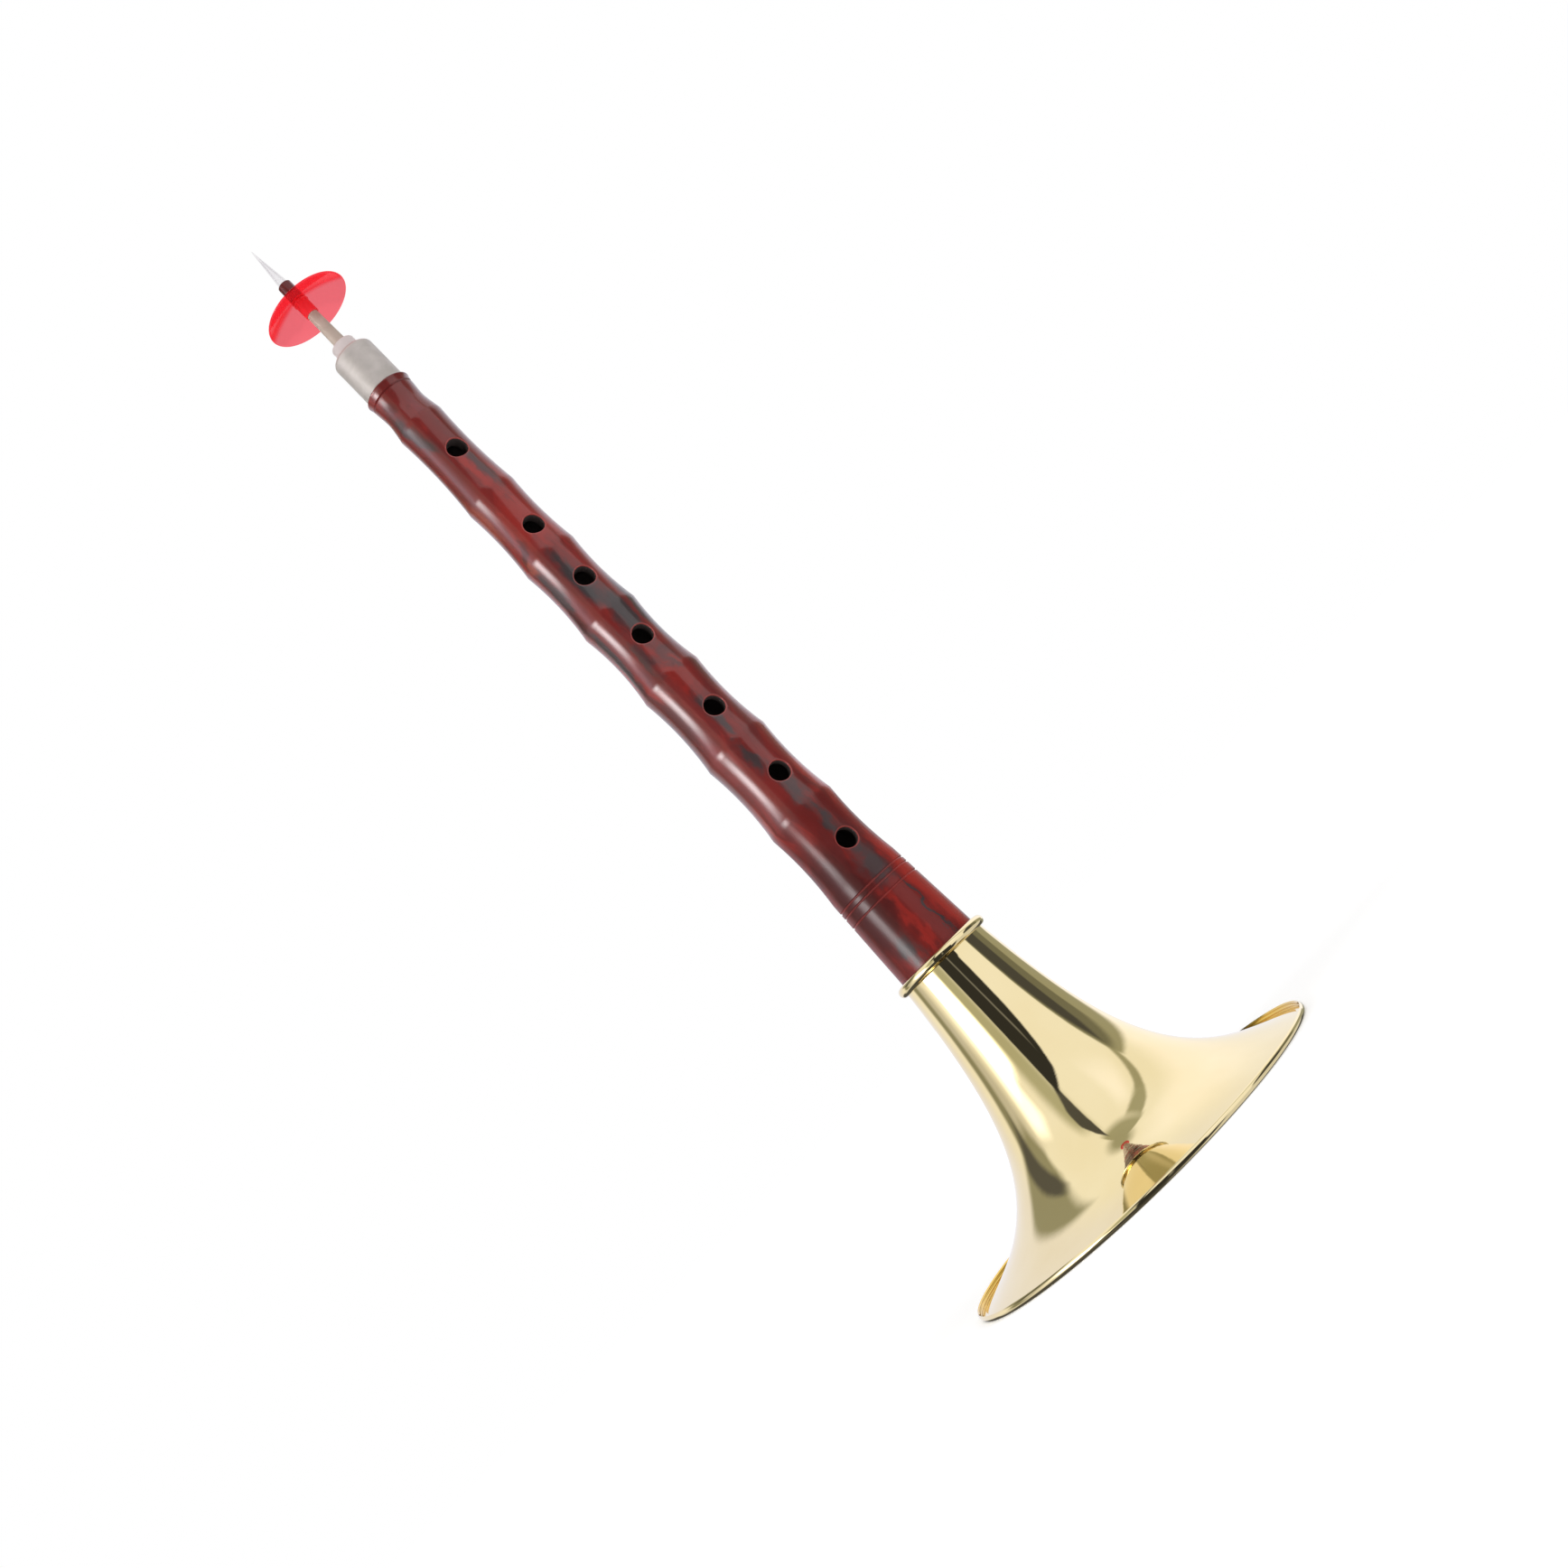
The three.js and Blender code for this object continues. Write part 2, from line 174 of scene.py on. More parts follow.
class Workbench:
    """The shaping steps that all pieces share."""

    @staticmethod
    def clear_selection() -> None:
        """Deselects every object."""
        bpy.ops.object.select_all(action="DESELECT")

    @staticmethod
    def turn(name: str, profile: list[Point], steps: int, sharp: float = 35.0) -> bpy.types.Object:
        """Draws a closed profile point by point and spins it about the bore.

        Args:
            name: Name of the piece.
            profile: The profile as radius and height, without its closing point.
            steps: Facets round the piece.
            sharp: Edges steeper than this angle in degrees stay crisp.

        Returns:
            The turned piece, with its faces pointing out.
        """
        Workbench.clear_selection()
        bpy.ops.mesh.primitive_plane_add(size=MM, location=(0, 0, 0))
        piece = bpy.context.object
        piece.name = name
        piece.data.name = name
        bpy.ops.object.mode_set(mode="EDIT")
        bpy.ops.mesh.select_mode(type="VERT")
        bpy.ops.mesh.select_all(action="SELECT")
        bpy.ops.mesh.merge(type="CENTER")
        first = profile[0]
        bpy.ops.transform.translate(value=(first[0] * MM, 0, first[1] * MM))
        for here, there in zip(profile, profile[1:]):
            step = ((there[0] - here[0]) * MM, 0, (there[1] - here[1]) * MM)
            bpy.ops.mesh.extrude_vertices_move(TRANSFORM_OT_translate={"value": step})
        Workbench.close_run(piece)
        bpy.ops.mesh.select_all(action="SELECT")
        bpy.ops.mesh.spin(steps=steps, angle=FULL_TURN, center=(0, 0, 0), axis=(0, 0, 1))
        bpy.ops.mesh.select_all(action="SELECT")
        bpy.ops.mesh.remove_doubles(threshold=0.002 * MM)
        bpy.ops.mesh.normals_make_consistent(inside=False)
        bpy.ops.object.mode_set(mode="OBJECT")
        Workbench.smooth(piece, sharp)
        return piece

    @staticmethod
    def close_run(piece: bpy.types.Object) -> None:
        """Joins the two loose ends of a drawn profile with an edge.

        Args:
            piece: Object in edit mode that holds the profile.
        """
        mesh = bmesh.from_edit_mesh(piece.data)
        for vertex in mesh.verts:
            vertex.select_set(len(vertex.link_edges) == 1)
        mesh.select_flush_mode()
        bmesh.update_edit_mesh(piece.data)
        bpy.ops.mesh.edge_face_add()

    @staticmethod
    def smooth(piece: bpy.types.Object, sharp: float) -> None:
        """Shades a piece smoothly, except across edges steeper than an angle.

        Args:
            piece: The piece.
            sharp: The angle in degrees.
        """
        Workbench.clear_selection()
        piece.select_set(True)
        bpy.context.view_layer.objects.active = piece
        bpy.ops.object.shade_smooth_by_angle(angle=math.radians(sharp))

    @staticmethod
    def cut(piece: bpy.types.Object, cutter: bpy.types.Object) -> None:
        """Takes a cutter's volume out of a piece and discards the cutter.

        Args:
            piece: The piece to cut.
            cutter: A closed mesh.
        """
        Workbench.clear_selection()
        piece.select_set(True)
        bpy.context.view_layer.objects.active = piece
        cutting = piece.modifiers.new("cut", "BOOLEAN")
        cutting.operation = "DIFFERENCE"
        cutting.solver = "EXACT"
        cutting.object = cutter
        bpy.ops.object.modifier_apply(modifier=cutting.name)
        bpy.data.objects.remove(cutter, do_unlink=True)

    @staticmethod
    def dress(
        piece: bpy.types.Object,
        material: bpy.types.Material,
        body: Body,
        slot: Slot,
        node: str,
    ) -> None:
        """Gives a piece its material and its place in the instrument.

        Args:
            piece: The piece.
            material: Its main material.
            body: The body that it rides on.
            slot: The record's finish that it takes; not used.
            node: The plain solid that it stands for.
        """
        if piece.data.materials:
            piece.data.materials[0] = material
        else:
            piece.data.materials.append(material)
        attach(piece, body.value)
        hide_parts(node)
        LOG.info("%s: %d faces on %s", piece.name, len(piece.data.polygons), body.value)


class NodeBench:
    """Adds nodes to one tree and joins them."""

    def __init__(self, tree: bpy.types.NodeTree) -> None:
        """Starts with an empty tree.

        Args:
            tree: The tree of a material or a world.
        """
        self.tree = tree
        tree.nodes.clear()

    def add(
        self, kind: str, inputs: dict[str | int, object] | None = None, **settings: object
    ) -> bpy.types.Node:
        """Adds a node.

        Args:
            kind: The node's type.
            inputs: Values or sockets for its inputs, by name or number.
            settings: The node's own options.

        Returns:
            The node.
        """
        node = self.tree.nodes.new(kind)
        for name, value in settings.items():
            setattr(node, name, value)
        for name, value in (inputs or {}).items():
            self.feed(node, name, value)
        return node

    def feed(self, node: bpy.types.Node, name: str | int, value: object) -> None:
        """Sets one input of a node, or joins it to a socket.

        Args:
            node: The node.
            name: The input's name or number.
            value: A constant or an output socket.
        """
        socket = node.inputs[name]
        if isinstance(value, bpy.types.NodeSocket):
            self.tree.links.new(value, socket)
        else:
            socket.default_value = value

    def math(self, operation: str, *values: object) -> Socket:
        """Adds a Math node.

        Args:
            operation: What it works out.
            values: Its numbers or sockets, in order.

        Returns:
            The result.
        """
        node = self.add("ShaderNodeMath", operation=operation)
        for i, value in enumerate(values):
            self.feed(node, i, value)
        return node.outputs[0]

    def place(self, scale: tuple[float, float, float] = (1, 1, 1), turn: float = 0) -> Socket:
        """The object's own coordinates, stretched and turned.

        Args:
            scale: Scale on each axis.
            turn: Turn about the vertical in radians.

        Returns:
            The coordinates.
        """
        coordinates = self.add("ShaderNodeTexCoord").outputs["Object"]
        mapping = self.add("ShaderNodeMapping", {"Vector": coordinates})
        mapping.inputs["Scale"].default_value = scale
        mapping.inputs["Rotation"].default_value = (0, 0, turn)
        return mapping.outputs[0]

    def noise(
        self, where: Socket, scale: float, detail: float = 2, warp: float = 0, rough: float = 0.5
    ) -> Socket:
        """Adds soft noise.

        Args:
            where: Coordinates to read it at.
            scale: Its scale.
            detail: Number of octaves.
            warp: How far it is distorted.
            rough: How strong the finer octaves are.

        Returns:
            The noise as a number from 0 to 1.
        """
        node = self.add(
            "ShaderNodeTexNoise",
            {
                "Vector": where,
                "Scale": scale,
                "Detail": detail,
                "Roughness": rough,
                "Distortion": warp,
            },
        )
        return node.outputs[0]

    def span(
        self, value: object, low: float, high: float, start: float = 0, end: float = 1
    ) -> Socket:
        """Maps a range of a value smoothly onto another range, and holds it at both ends.

        Args:
            value: The value.
            low: Where the range starts.
            high: Where the range ends.
            start: Result at low.
            end: Result at high.

        Returns:
            The mapped value.
        """
        node = self.add("ShaderNodeMapRange", interpolation_type="SMOOTHSTEP")
        for i, number in enumerate((value, low, high, start, end)):
            self.feed(node, i, number)
        return node.outputs[0]

    def blend(self, share: object, first: object, second: object, kind: str = "MIX") -> Socket:
        """Mixes two colours.

        Args:
            share: Share of the second colour.
            first: First colour or socket.
            second: Second colour or socket.
            kind: The way they are mixed.

        Returns:
            The mixed colour.
        """
        node = self.add("ShaderNodeMix", data_type="RGBA", blend_type=kind)
        for number, value in ((0, share), (6, first), (7, second)):
            self.feed(node, number, (*value, 1) if isinstance(value, tuple) else value)
        return node.outputs[2]

    def bump(self, height: Socket, depth: float, below: Socket | None = None) -> Socket:
        """Adds relief.

        Args:
            height: Height from 0 to 1.
            depth: Depth of the relief in metres.
            below: Normal of a coarser relief under it.

        Returns:
            The normal.
        """
        node = self.add("ShaderNodeBump", {"Height": height, "Distance": depth, "Strength": 1})
        if below is not None:
            self.feed(node, "Normal", below)
        return node.outputs[0]

    def split(self, vector: Socket) -> list[Socket]:
        """Returns the three parts of a vector."""
        return list(self.add("ShaderNodeSeparateXYZ", {0: vector}).outputs)

    def length(self, vector: Socket) -> Socket:
        """Returns the length of a vector."""
        return self.add("ShaderNodeVectorMath", {0: vector}, operation="LENGTH").outputs["Value"]

    def around(self, parts: list[Socket]) -> Socket:
        """Returns the angle round the bore in degrees, from -Y towards +X."""
        angle = self.math("ARCTAN2", parts[0], self.math("MULTIPLY", parts[1], -1.0))
        return self.math("MULTIPLY", angle, math.degrees(1))

    def principled(self, inputs: dict[str | int, object]) -> Socket:
        """Adds a Principled shader with the given inputs and returns its output."""
        return self.add("ShaderNodeBsdfPrincipled", inputs).outputs[0]

    def mix_shaders(self, share: object, first: Socket, second: Socket) -> Socket:
        """Mixes two shaders by the share of the second one."""
        return self.add("ShaderNodeMixShader", {0: share, 1: first, 2: second}).outputs[0]

    def finish(self, shader: Socket, output: str = "ShaderNodeOutputMaterial") -> None:
        """Joins a shader to the output."""
        self.add(output, {0: shader})


def new_material(name: str) -> tuple[bpy.types.Material, NodeBench]:
    """Makes a material with an empty node tree.

    Args:
        name: Its name.

    Returns:
        The material and the bench that fills its tree.
    """
    material = bpy.data.materials.new(name)
    material.use_nodes = True
    return material, NodeBench(material.node_tree)


class Cast(Enum):
    """The casts of the room's light."""

    NEUTRAL = (1.0, 1.0, 1.0)
    COOL = (1.0, 1.0, 1.1)
    OLIVE = (0.98, 0.99, 0.76)


@dataclass(frozen=True)
class SpunBrass:
    """Polished pale brass with the faint rings and waves that spinning leaves."""

    name: str = "spun_brass"
    light: Colour = (0.90, 0.765, 0.465)
    deep: Colour = (0.87, 0.725, 0.415)
    # painted reflection: the deeper gold that faces looking at the axis take
    interreflection_gold: Colour = (0.78, 0.53, 0.12)
    gloss: tuple[float, float] = (0.02, 0.055)
    patch_scale: float = 38
    smudge_scale: float = 90
    wave_scale: float = 34
    wave_depth: float = 0.00009
    ripple_scale: float = 190
    ripple_depth: float = 0.000012
    ring_scale: float = 2600
    ring_depth: float = 0.0000015
    interreflection_span: tuple[float, float] = (-0.05, -0.4)

    def material(self) -> bpy.types.Material:
        """Builds the node material.

        Returns:
            The material.
        """
        material, bench = new_material(self.name)
        patches = bench.noise(bench.place(), self.patch_scale, 3)
        colour = bench.blend(bench.span(patches, 0.3, 0.7), self.light, self.deep)
        # painted reflection: faces that look at the axis, inside the bell and its roll, take a
        # deeper gold for light bounced between brass surfaces
        colour = bench.blend(self.interreflection_share(bench), colour, self.interreflection_gold)
        smudges = bench.noise(bench.place((1, 1, 0.4)), self.smudge_scale, 4, 0.6)
        rough = bench.span(smudges, 0.35, 0.7, *self.gloss)
        waves = bench.noise(bench.place((1, 1, 0.35)), self.wave_scale, 1)
        ripples = bench.noise(bench.place((1, 1, 0.5)), self.ripple_scale, 2)
        rings = bench.noise(bench.place((0.02, 0.02, 1)), self.ring_scale, 2)
        normal = bench.bump(ripples, self.ripple_depth, bench.bump(waves, self.wave_depth))
        normal = bench.bump(rings, self.ring_depth, normal)
        shader = bench.principled(
            {"Base Color": colour, "Metallic": 1.0, "Roughness": rough, "Normal": normal}
        )
        bench.finish(shader)
        return material

    def interreflection_share(self, bench: NodeBench) -> Socket:
        """Finds the faces that look at the axis, where a deeper gold is painted in as the
        reflection of light bounced between brass surfaces.

        Args:
            bench: The node bench of the material.

        Returns:
            1 on those faces, 0 elsewhere.
        """
        coordinates = bench.add("ShaderNodeTexCoord").outputs
        flat = bench.add(
            "ShaderNodeVectorMath", {0: coordinates["Object"], 1: (1, 1, 0)}, operation="MULTIPLY"
        )
        outward = bench.add("ShaderNodeVectorMath", {0: flat.outputs[0]}, operation="NORMALIZE")
        dot = bench.add(
            "ShaderNodeVectorMath",
            {0: coordinates["Normal"], 1: outward.outputs[0]},
            operation="DOT_PRODUCT",
        )
        return bench.span(dot.outputs["Value"], *self.interreflection_span)


class Tone(Enum):
    """The tones of the marbled wood."""

    RED = (0.165, 0.013, 0.011)
    BRIGHT = (0.30, 0.018, 0.012)
    ORANGE = (0.27, 0.048, 0.022)
    MAROON = (0.045, 0.006, 0.006)
    CHARCOAL = (0.034, 0.029, 0.031)


@dataclass(frozen=True)
class Mark:
    """A soft elongated mark in the wood.

    The height and half the length are in millimetres, the angle from the finger holes and
    half the width in degrees, and the lean is the turn of its long side in degrees.
    """

    height: float
    angle: float
    half_length: float
    half_width: float
    tone: Tone
    strength: float = 0.9
    lean: float = 0.0


@dataclass(frozen=True)
class MarbledLacquer:
    """Dark red wood marbled with charcoal under a satin lacquer."""

    name: str = "marbled_lacquer"
    lines: tuple[float, ...] = ()
    holes: tuple[tuple[float, int], ...] = ()
    hole_radius: float = 3.5
    # painted highlight: the lighter red along the turned lines and round the hole mouths
    edge_highlight_tone: Colour = (0.42, 0.075, 0.065)
    line_share: float = 0.32
    ring_share: float = 0.6
    pore_scale: float = 1500
    ripple_scale: float = 170
    ripple_depth: float = 0.00003
    warp_scales: tuple[float, float, float] = (120, 420, 210)
    across_warp: tuple[float, float] = (22.0, 24.0)
    rise_warp: float = 20.0
    front_angle: float = -20.0
    front_reach: tuple[float, float] = (75, 105)
    coat_roughness: float = 0.15
    # painted shade: below these heights a weaker coat dims the lacquer's sheen on the lower stem
    sheen_shade_coat: float = 0.3
    sheen_shade_heights: tuple[float, float] = (142.0, 150.0)
    marks: tuple[Mark, ...] = (
        Mark(276, -8, 13, 36, Tone.BRIGHT, 0.6),
        Mark(298, -12, 9, 7, Tone.BRIGHT, 0.6, 20),
        Mark(284, -80, 10, 16, Tone.ORANGE, 0.6),
        Mark(262, -72, 5, 10, Tone.ORANGE, 0.7),
        Mark(204, -8, 8, 26, Tone.BRIGHT, 0.5),
        Mark(150, 42, 12, 16, Tone.BRIGHT, 0.7),
        Mark(106, 36, 28, 17, Tone.BRIGHT, 0.9),
        # painted shade: this broad dark maroon mark stands in for a shadow across the lower stem
        Mark(112, -58, 30, 40, Tone.MAROON, 0.95),
        Mark(97, -19, 13, 7, Tone.BRIGHT, 0.6),
        Mark(333, -54, 3, 15, Tone.MAROON, 0.6),
        Mark(321, -57, 7, 24, Tone.CHARCOAL, 0.8, -20),
        Mark(299, 8, 13, 11, Tone.CHARCOAL, 0.75, 22),
        Mark(267, -60, 2.5, 24, Tone.MAROON, 0.7, 8),
        Mark(248, -18, 15, 15, Tone.CHARCOAL, 0.97, 14),
        Mark(231, 2, 14, 22, Tone.CHARCOAL, 0.95),
        Mark(232, 44, 13, 14, Tone.CHARCOAL, 0.85),
        Mark(250, -72, 9, 15, Tone.CHARCOAL, 0.9),
        Mark(239, -80, 6, 12, Tone.MAROON, 0.8),
        Mark(221, -79, 15, 12, Tone.CHARCOAL, 0.9),
        Mark(216, -30, 9, 11, Tone.CHARCOAL, 0.7),
        Mark(210, 2, 4, 22, Tone.CHARCOAL, 0.6),
        Mark(192, -72, 12, 14, Tone.MAROON, 0.6),
        Mark(185, -14, 9, 9, Tone.CHARCOAL, 0.85, 18),
        Mark(168, -24, 6, 10, Tone.CHARCOAL, 0.9),
        Mark(154, -6, 8, 14, Tone.CHARCOAL, 0.8, -15),
        Mark(138, -4, 6, 9, Tone.CHARCOAL, 0.85),
        Mark(119, -3, 9, 19, Tone.CHARCOAL, 0.85),
        Mark(98, 12, 15, 2.2, Tone.CHARCOAL, 0.9, 2),
        Mark(91, -48, 6, 13, Tone.CHARCOAL, 0.85),
    )

    def material(self) -> bpy.types.Material:
        """Builds the node material.

        Returns:
            The material.
        """
        material, bench = new_material(self.name)
        chart, side = self.chart(bench)
        base = self.marbling(bench, side)
        for mark in self.marks:
            share = self.mark_share(bench, chart, mark)
            base = bench.blend(share, base, mark.tone.value)
        pores = bench.noise(bench.place((1, 1, 0.08)), self.pore_scale, 2)
        base = bench.blend(bench.span(pores, 0.58, 0.8, 0, 0.35), base, Tone.MAROON.value)
        # painted highlight: a lighter red along the turned lines and round the hole mouths
        base = bench.blend(self.edge_highlights(bench), base, self.edge_highlight_tone)
        ripple = bench.noise(bench.place((1, 1, 0.5)), self.ripple_scale, 2)
        height = bench.split(bench.place((1 / MM,) * 3))[2]
        # painted shade: the coat is weakened low on the stem to dim its sheen there
        dimmed_sheen = bench.span(height, *self.sheen_shade_heights, self.sheen_shade_coat, 1)
        shader = bench.principled(
            {
                "Base Color": base,
                "Roughness": bench.span(pores, 0.3, 0.8, 0.38, 0.55),
                "Specular IOR Level": 0.12,
                "Coat Weight": dimmed_sheen,
                "Coat Roughness": self.coat_roughness,
                "Coat IOR": 1.5,
                "Coat Normal": bench.bump(ripple, self.ripple_depth),
            }
        )
        bench.finish(shader)
        return material

    def chart(self, bench: NodeBench) -> tuple[Socket, Socket]:
        """Unrolls the surface.

        Args:
            bench: The node bench of the material.

        Returns:
            Degrees from the finger holes and height in millimetres, slightly wavy, and 1 on
            the thumb's side of the stem, 0 on the other.
        """
        parts = bench.split(bench.place((1 / MM,) * 3))
        around = bench.around(parts)
        middle = bench.math("ABSOLUTE", bench.math("SUBTRACT", around, self.front_angle))
        broad_scale, fine_scale, rise_scale = self.warp_scales
        broad = bench.noise(bench.place((1, 1, 0.6)), broad_scale, 2)
        fine = bench.noise(bench.place((1, 1, 0.5)), fine_scale, 3)
        broad_warp, fine_warp = self.across_warp
        shift = bench.math("MULTIPLY", broad, broad_warp)
        shift = bench.math("MULTIPLY_ADD", fine, fine_warp, shift)
        shift = bench.math("SUBTRACT", shift, (broad_warp + fine_warp) / 2)
        across = bench.math("ADD", around, shift)
        rise = bench.noise(bench.place((1, 1, 0.6)), rise_scale, 4, 0.8)
        height = bench.math("SUBTRACT", parts[2], self.rise_warp / 2)
        rise = bench.math("MULTIPLY_ADD", rise, self.rise_warp, height)
        chart = bench.add("ShaderNodeCombineXYZ", {0: across, 1: rise, 2: 0.0})
        return chart.outputs[0], bench.span(middle, *self.front_reach)

    def marbling(self, bench: NodeBench, side: Socket) -> Socket:
        """Builds the cloudy tones below the marks.

        Args:
            bench: The node bench of the material.
            side: 1 where the clouds are strong, 0 where the marks take their place.

        Returns:
            The colour.
        """
        clouds = bench.noise(bench.place((1, 1, 0.34)), 78, 3, 0.5, 0.52)
        veil = bench.noise(bench.place((1, 1, 0.22)), 130, 3, 1.1, 0.55)
        tone = bench.noise(bench.place((1, 1, 0.45)), 46, 2, 0.4)
        deep = bench.span(tone, 0.36, 0.62, 0.45, 0)
        base = bench.blend(deep, Tone.RED.value, Tone.MAROON.value)
        base = bench.blend(bench.span(veil, 0.5, 0.75, 0, 0.7), base, Tone.BRIGHT.value)
        dark = bench.span(clouds, 0.50, 0.62)
        strength = bench.math("MULTIPLY_ADD", side, 0.7, 0.22)
        return bench.blend(bench.math("MULTIPLY", dark, strength), base, Tone.CHARCOAL.value)

    @staticmethod
    def mark_share(bench: NodeBench, chart: Socket, mark: Mark) -> Socket:
        """Finds how much of a mark's tone shows.

        Args:
            bench: The node bench of the material.
            chart: The unrolled surface.
            mark: The mark.

        Returns:
            The share, its full strength in the middle and 0 outside.
        """
        own = bench.add("ShaderNodeMapping", {"Vector": chart}, vector_type="TEXTURE")
        own.inputs["Location"].default_value = (mark.angle, mark.height, 0)
        own.inputs["Rotation"].default_value = (0, 0, math.radians(mark.lean))
        own.inputs["Scale"].default_value = (mark.half_width, mark.half_length, 1)
        return bench.span(bench.length(own.outputs[0]), 0.4, 1.4, mark.strength, 0)

    def edge_highlights(self, bench: NodeBench) -> Socket:
        """Finds the turned lines and the mouths of the holes, where a lighter red is painted as
        their highlight.

        Args:
            bench: The node bench of the material.

        Returns:
            The share of the painted highlight.
        """
        where = bench.place((1 / MM,) * 3)
        parts = bench.split(where)
        share: object = 0.0
        for line in self.lines:
            away = bench.math("ABSOLUTE", bench.math("SUBTRACT", parts[2], line))
            band = bench.span(away, 0.15, 0.42, self.line_share, 0)
            share = bench.math("MAXIMUM", share, band)
        nearest: object = 10.0
        for hole, side in self.holes:
            own = bench.add("ShaderNodeMapping", {"Vector": where}, vector_type="TEXTURE")
            own.inputs["Location"].default_value = (0, 0, hole)
            own.inputs["Scale"].default_value = (1, 1000, 1)
            behind = bench.span(bench.math("MULTIPLY", parts[1], side), 0, 1, 10, 0)
            reach = bench.math("ADD", bench.length(own.outputs[0]), behind)
            nearest = bench.math("MINIMUM", nearest, reach)
        mouth = self.hole_radius
        ring = bench.span(nearest, mouth + 0.15, mouth + 0.5, self.ring_share, 0)
        return bench.math("MAXIMUM", share, ring)


@dataclass(frozen=True)
class BoreShade:
    """Near-black painted shade inside the bore and the holes, with a wood grain in it."""

    name: str = "bore_shade"
    # painted shade: near-black tones stand in for the shade inside the bore and the holes
    dark: Colour = (0.045, 0.034, 0.032)
    light: Colour = (0.075, 0.056, 0.052)
    grain_scale: float = 900
    depth: float = 0.00004

    def material(self) -> bpy.types.Material:
        """Builds the node material.

        Returns:
            The material.
        """
        material, bench = new_material(self.name)
        grain = bench.noise(bench.place((1, 1, 0.06)), self.grain_scale, 3)
        shader = bench.principled(
            {
                "Base Color": bench.blend(grain, self.dark, self.light),
                "Roughness": bench.span(grain, 0.2, 0.8, 0.6, 0.8),
                "Normal": bench.bump(grain, self.depth),
            }
        )
        bench.finish(shader)
        return material


@dataclass(frozen=True)
class BrushedMetal:
    """A plain metal with fine tool marks round or along it."""

    name: str
    light: Colour
    dark: Colour
    gloss: tuple[float, float]
    grain: tuple[float, float, float]
    grain_scale: float = 1800
    patch_scale: float = 160
    depth: float = 0.000008
    metallic: float = 1.0

    def material(self) -> bpy.types.Material:
        """Builds the node material.

        Returns:
            The material.
        """
        material, bench = new_material(self.name)
        marks = bench.noise(bench.place(self.grain), self.grain_scale, 3)
        patches = bench.noise(bench.place(), self.patch_scale, 3, 0.5)
        colour = bench.blend(bench.span(patches, 0.3, 0.7), self.light, self.dark)
        shader = bench.principled(
            {
                "Base Color": colour,
                "Metallic": self.metallic,
                "Roughness": bench.span(marks, 0.3, 0.7, *self.gloss),
                "Normal": bench.bump(marks, self.depth),
            }
        )
        bench.finish(shader)
        return material


@dataclass(frozen=True)
class MouldedPlastic:
    """An opaque plastic with a faintly uneven moulded skin."""

    name: str
    colour: Colour
    shade: Colour
    gloss: tuple[float, float]
    depth: float = 0.00001
    coat: float = 0.0
    coat_roughness: float = 0.12
    specular: float = 0.12
    patch_scale: float = 240
    skin_scale: float = 1600

    def material(self) -> bpy.types.Material:
        """Builds the node material.

        Returns:
            The material.
        """
        material, bench = new_material(self.name)
        patches = bench.noise(bench.place(), self.patch_scale, 3)
        skin = bench.noise(bench.place(), self.skin_scale, 2)
        shader = bench.principled(
            {
                "Base Color": bench.blend(patches, self.colour, self.shade),
                "Roughness": bench.span(skin, 0.3, 0.7, *self.gloss),
                "Specular IOR Level": self.specular * (1 - self.coat),
                "Normal": bench.bump(skin, self.depth),
                "Coat Weight": self.coat,
                "Coat Roughness": self.coat_roughness,
            }
        )
        bench.finish(shader)
        return material


@dataclass(frozen=True)
class TintedPlastic:
    """A thin see-through plastic that looks denser where it is seen at a slant.

    The tints are what one skin lets through, seen squarely and at a slant.
    """

    name: str
    square: Colour
    slanted: Colour
    body: Colour
    cover: tuple[float, float]
    gloss: float = 0.12
    shine: float = 0.35
    slant: tuple[float, float] = (0.49, 0.60)
    core_radius: float = 0.0
    core_cover: float = 0.0
    core_edge: float = 0.6
    depth: float = 0.00001
    flow_scale: float = 130
    skin_scale: float = 700
    refraction: float = 1.45
    most_mirrored: float = 0.35

    def material(self) -> bpy.types.Material:
        """Builds the node material.

        Returns:
            The material.
        """
        material, bench = new_material(self.name)
        flow = bench.noise(bench.place(), self.flow_scale, 3, 0.6)
        skin = bench.noise(bench.place(), self.skin_scale, 2)
        facing = bench.add("ShaderNodeLayerWeight", {"Blend": 0.5}).outputs["Facing"]
        facing = bench.math("MULTIPLY_ADD", flow, 0.03, bench.math("SUBTRACT", facing, 0.015))
        low, high = self.slant
        tint = bench.blend(bench.span(facing, low, high), self.square, self.slanted)
        clear = bench.add("ShaderNodeBsdfTransparent", {"Color": tint}).outputs[0]
        front = bench.add("ShaderNodeBsdfDiffuse", {"Color": (*self.body, 1)}).outputs[0]
        back = bench.add("ShaderNodeBsdfTranslucent", {"Color": (*self.body, 1)}).outputs[0]
        share = bench.span(facing, low, high, *self.cover)
        if self.core_radius:
            share = bench.math("MAXIMUM", share, self.core_share(bench))
        filled = bench.mix_shaders(share, clear, bench.mix_shaders(0.5, front, back))
        mirror = bench.add(
            "ShaderNodeBsdfGlossy",
            {
                "Color": (1, 1, 1, 1),
                "Roughness": bench.span(skin, 0.3, 0.7, self.gloss * 0.8, self.gloss * 1.2),
                "Normal": bench.bump(skin, self.depth),
            },
        )
        fresnel = bench.add("ShaderNodeFresnel", {"IOR": self.refraction}).outputs[0]
        coat = bench.math("MINIMUM", fresnel, self.most_mirrored)
        coat = bench.math("MULTIPLY", coat, self.shine)
        bench.finish(bench.mix_shaders(coat, filled, mirror.outputs[0]))
        return material

    def core_share(self, bench: NodeBench) -> Socket:
        """Returns how full the plastic is near the axis, where it is thick."""
        reach = bench.length(bench.place((1 / MM, 1 / MM, 0)))
        edge = self.core_radius + self.core_edge
        return bench.span(reach, self.core_radius, edge, self.core_cover, 0)


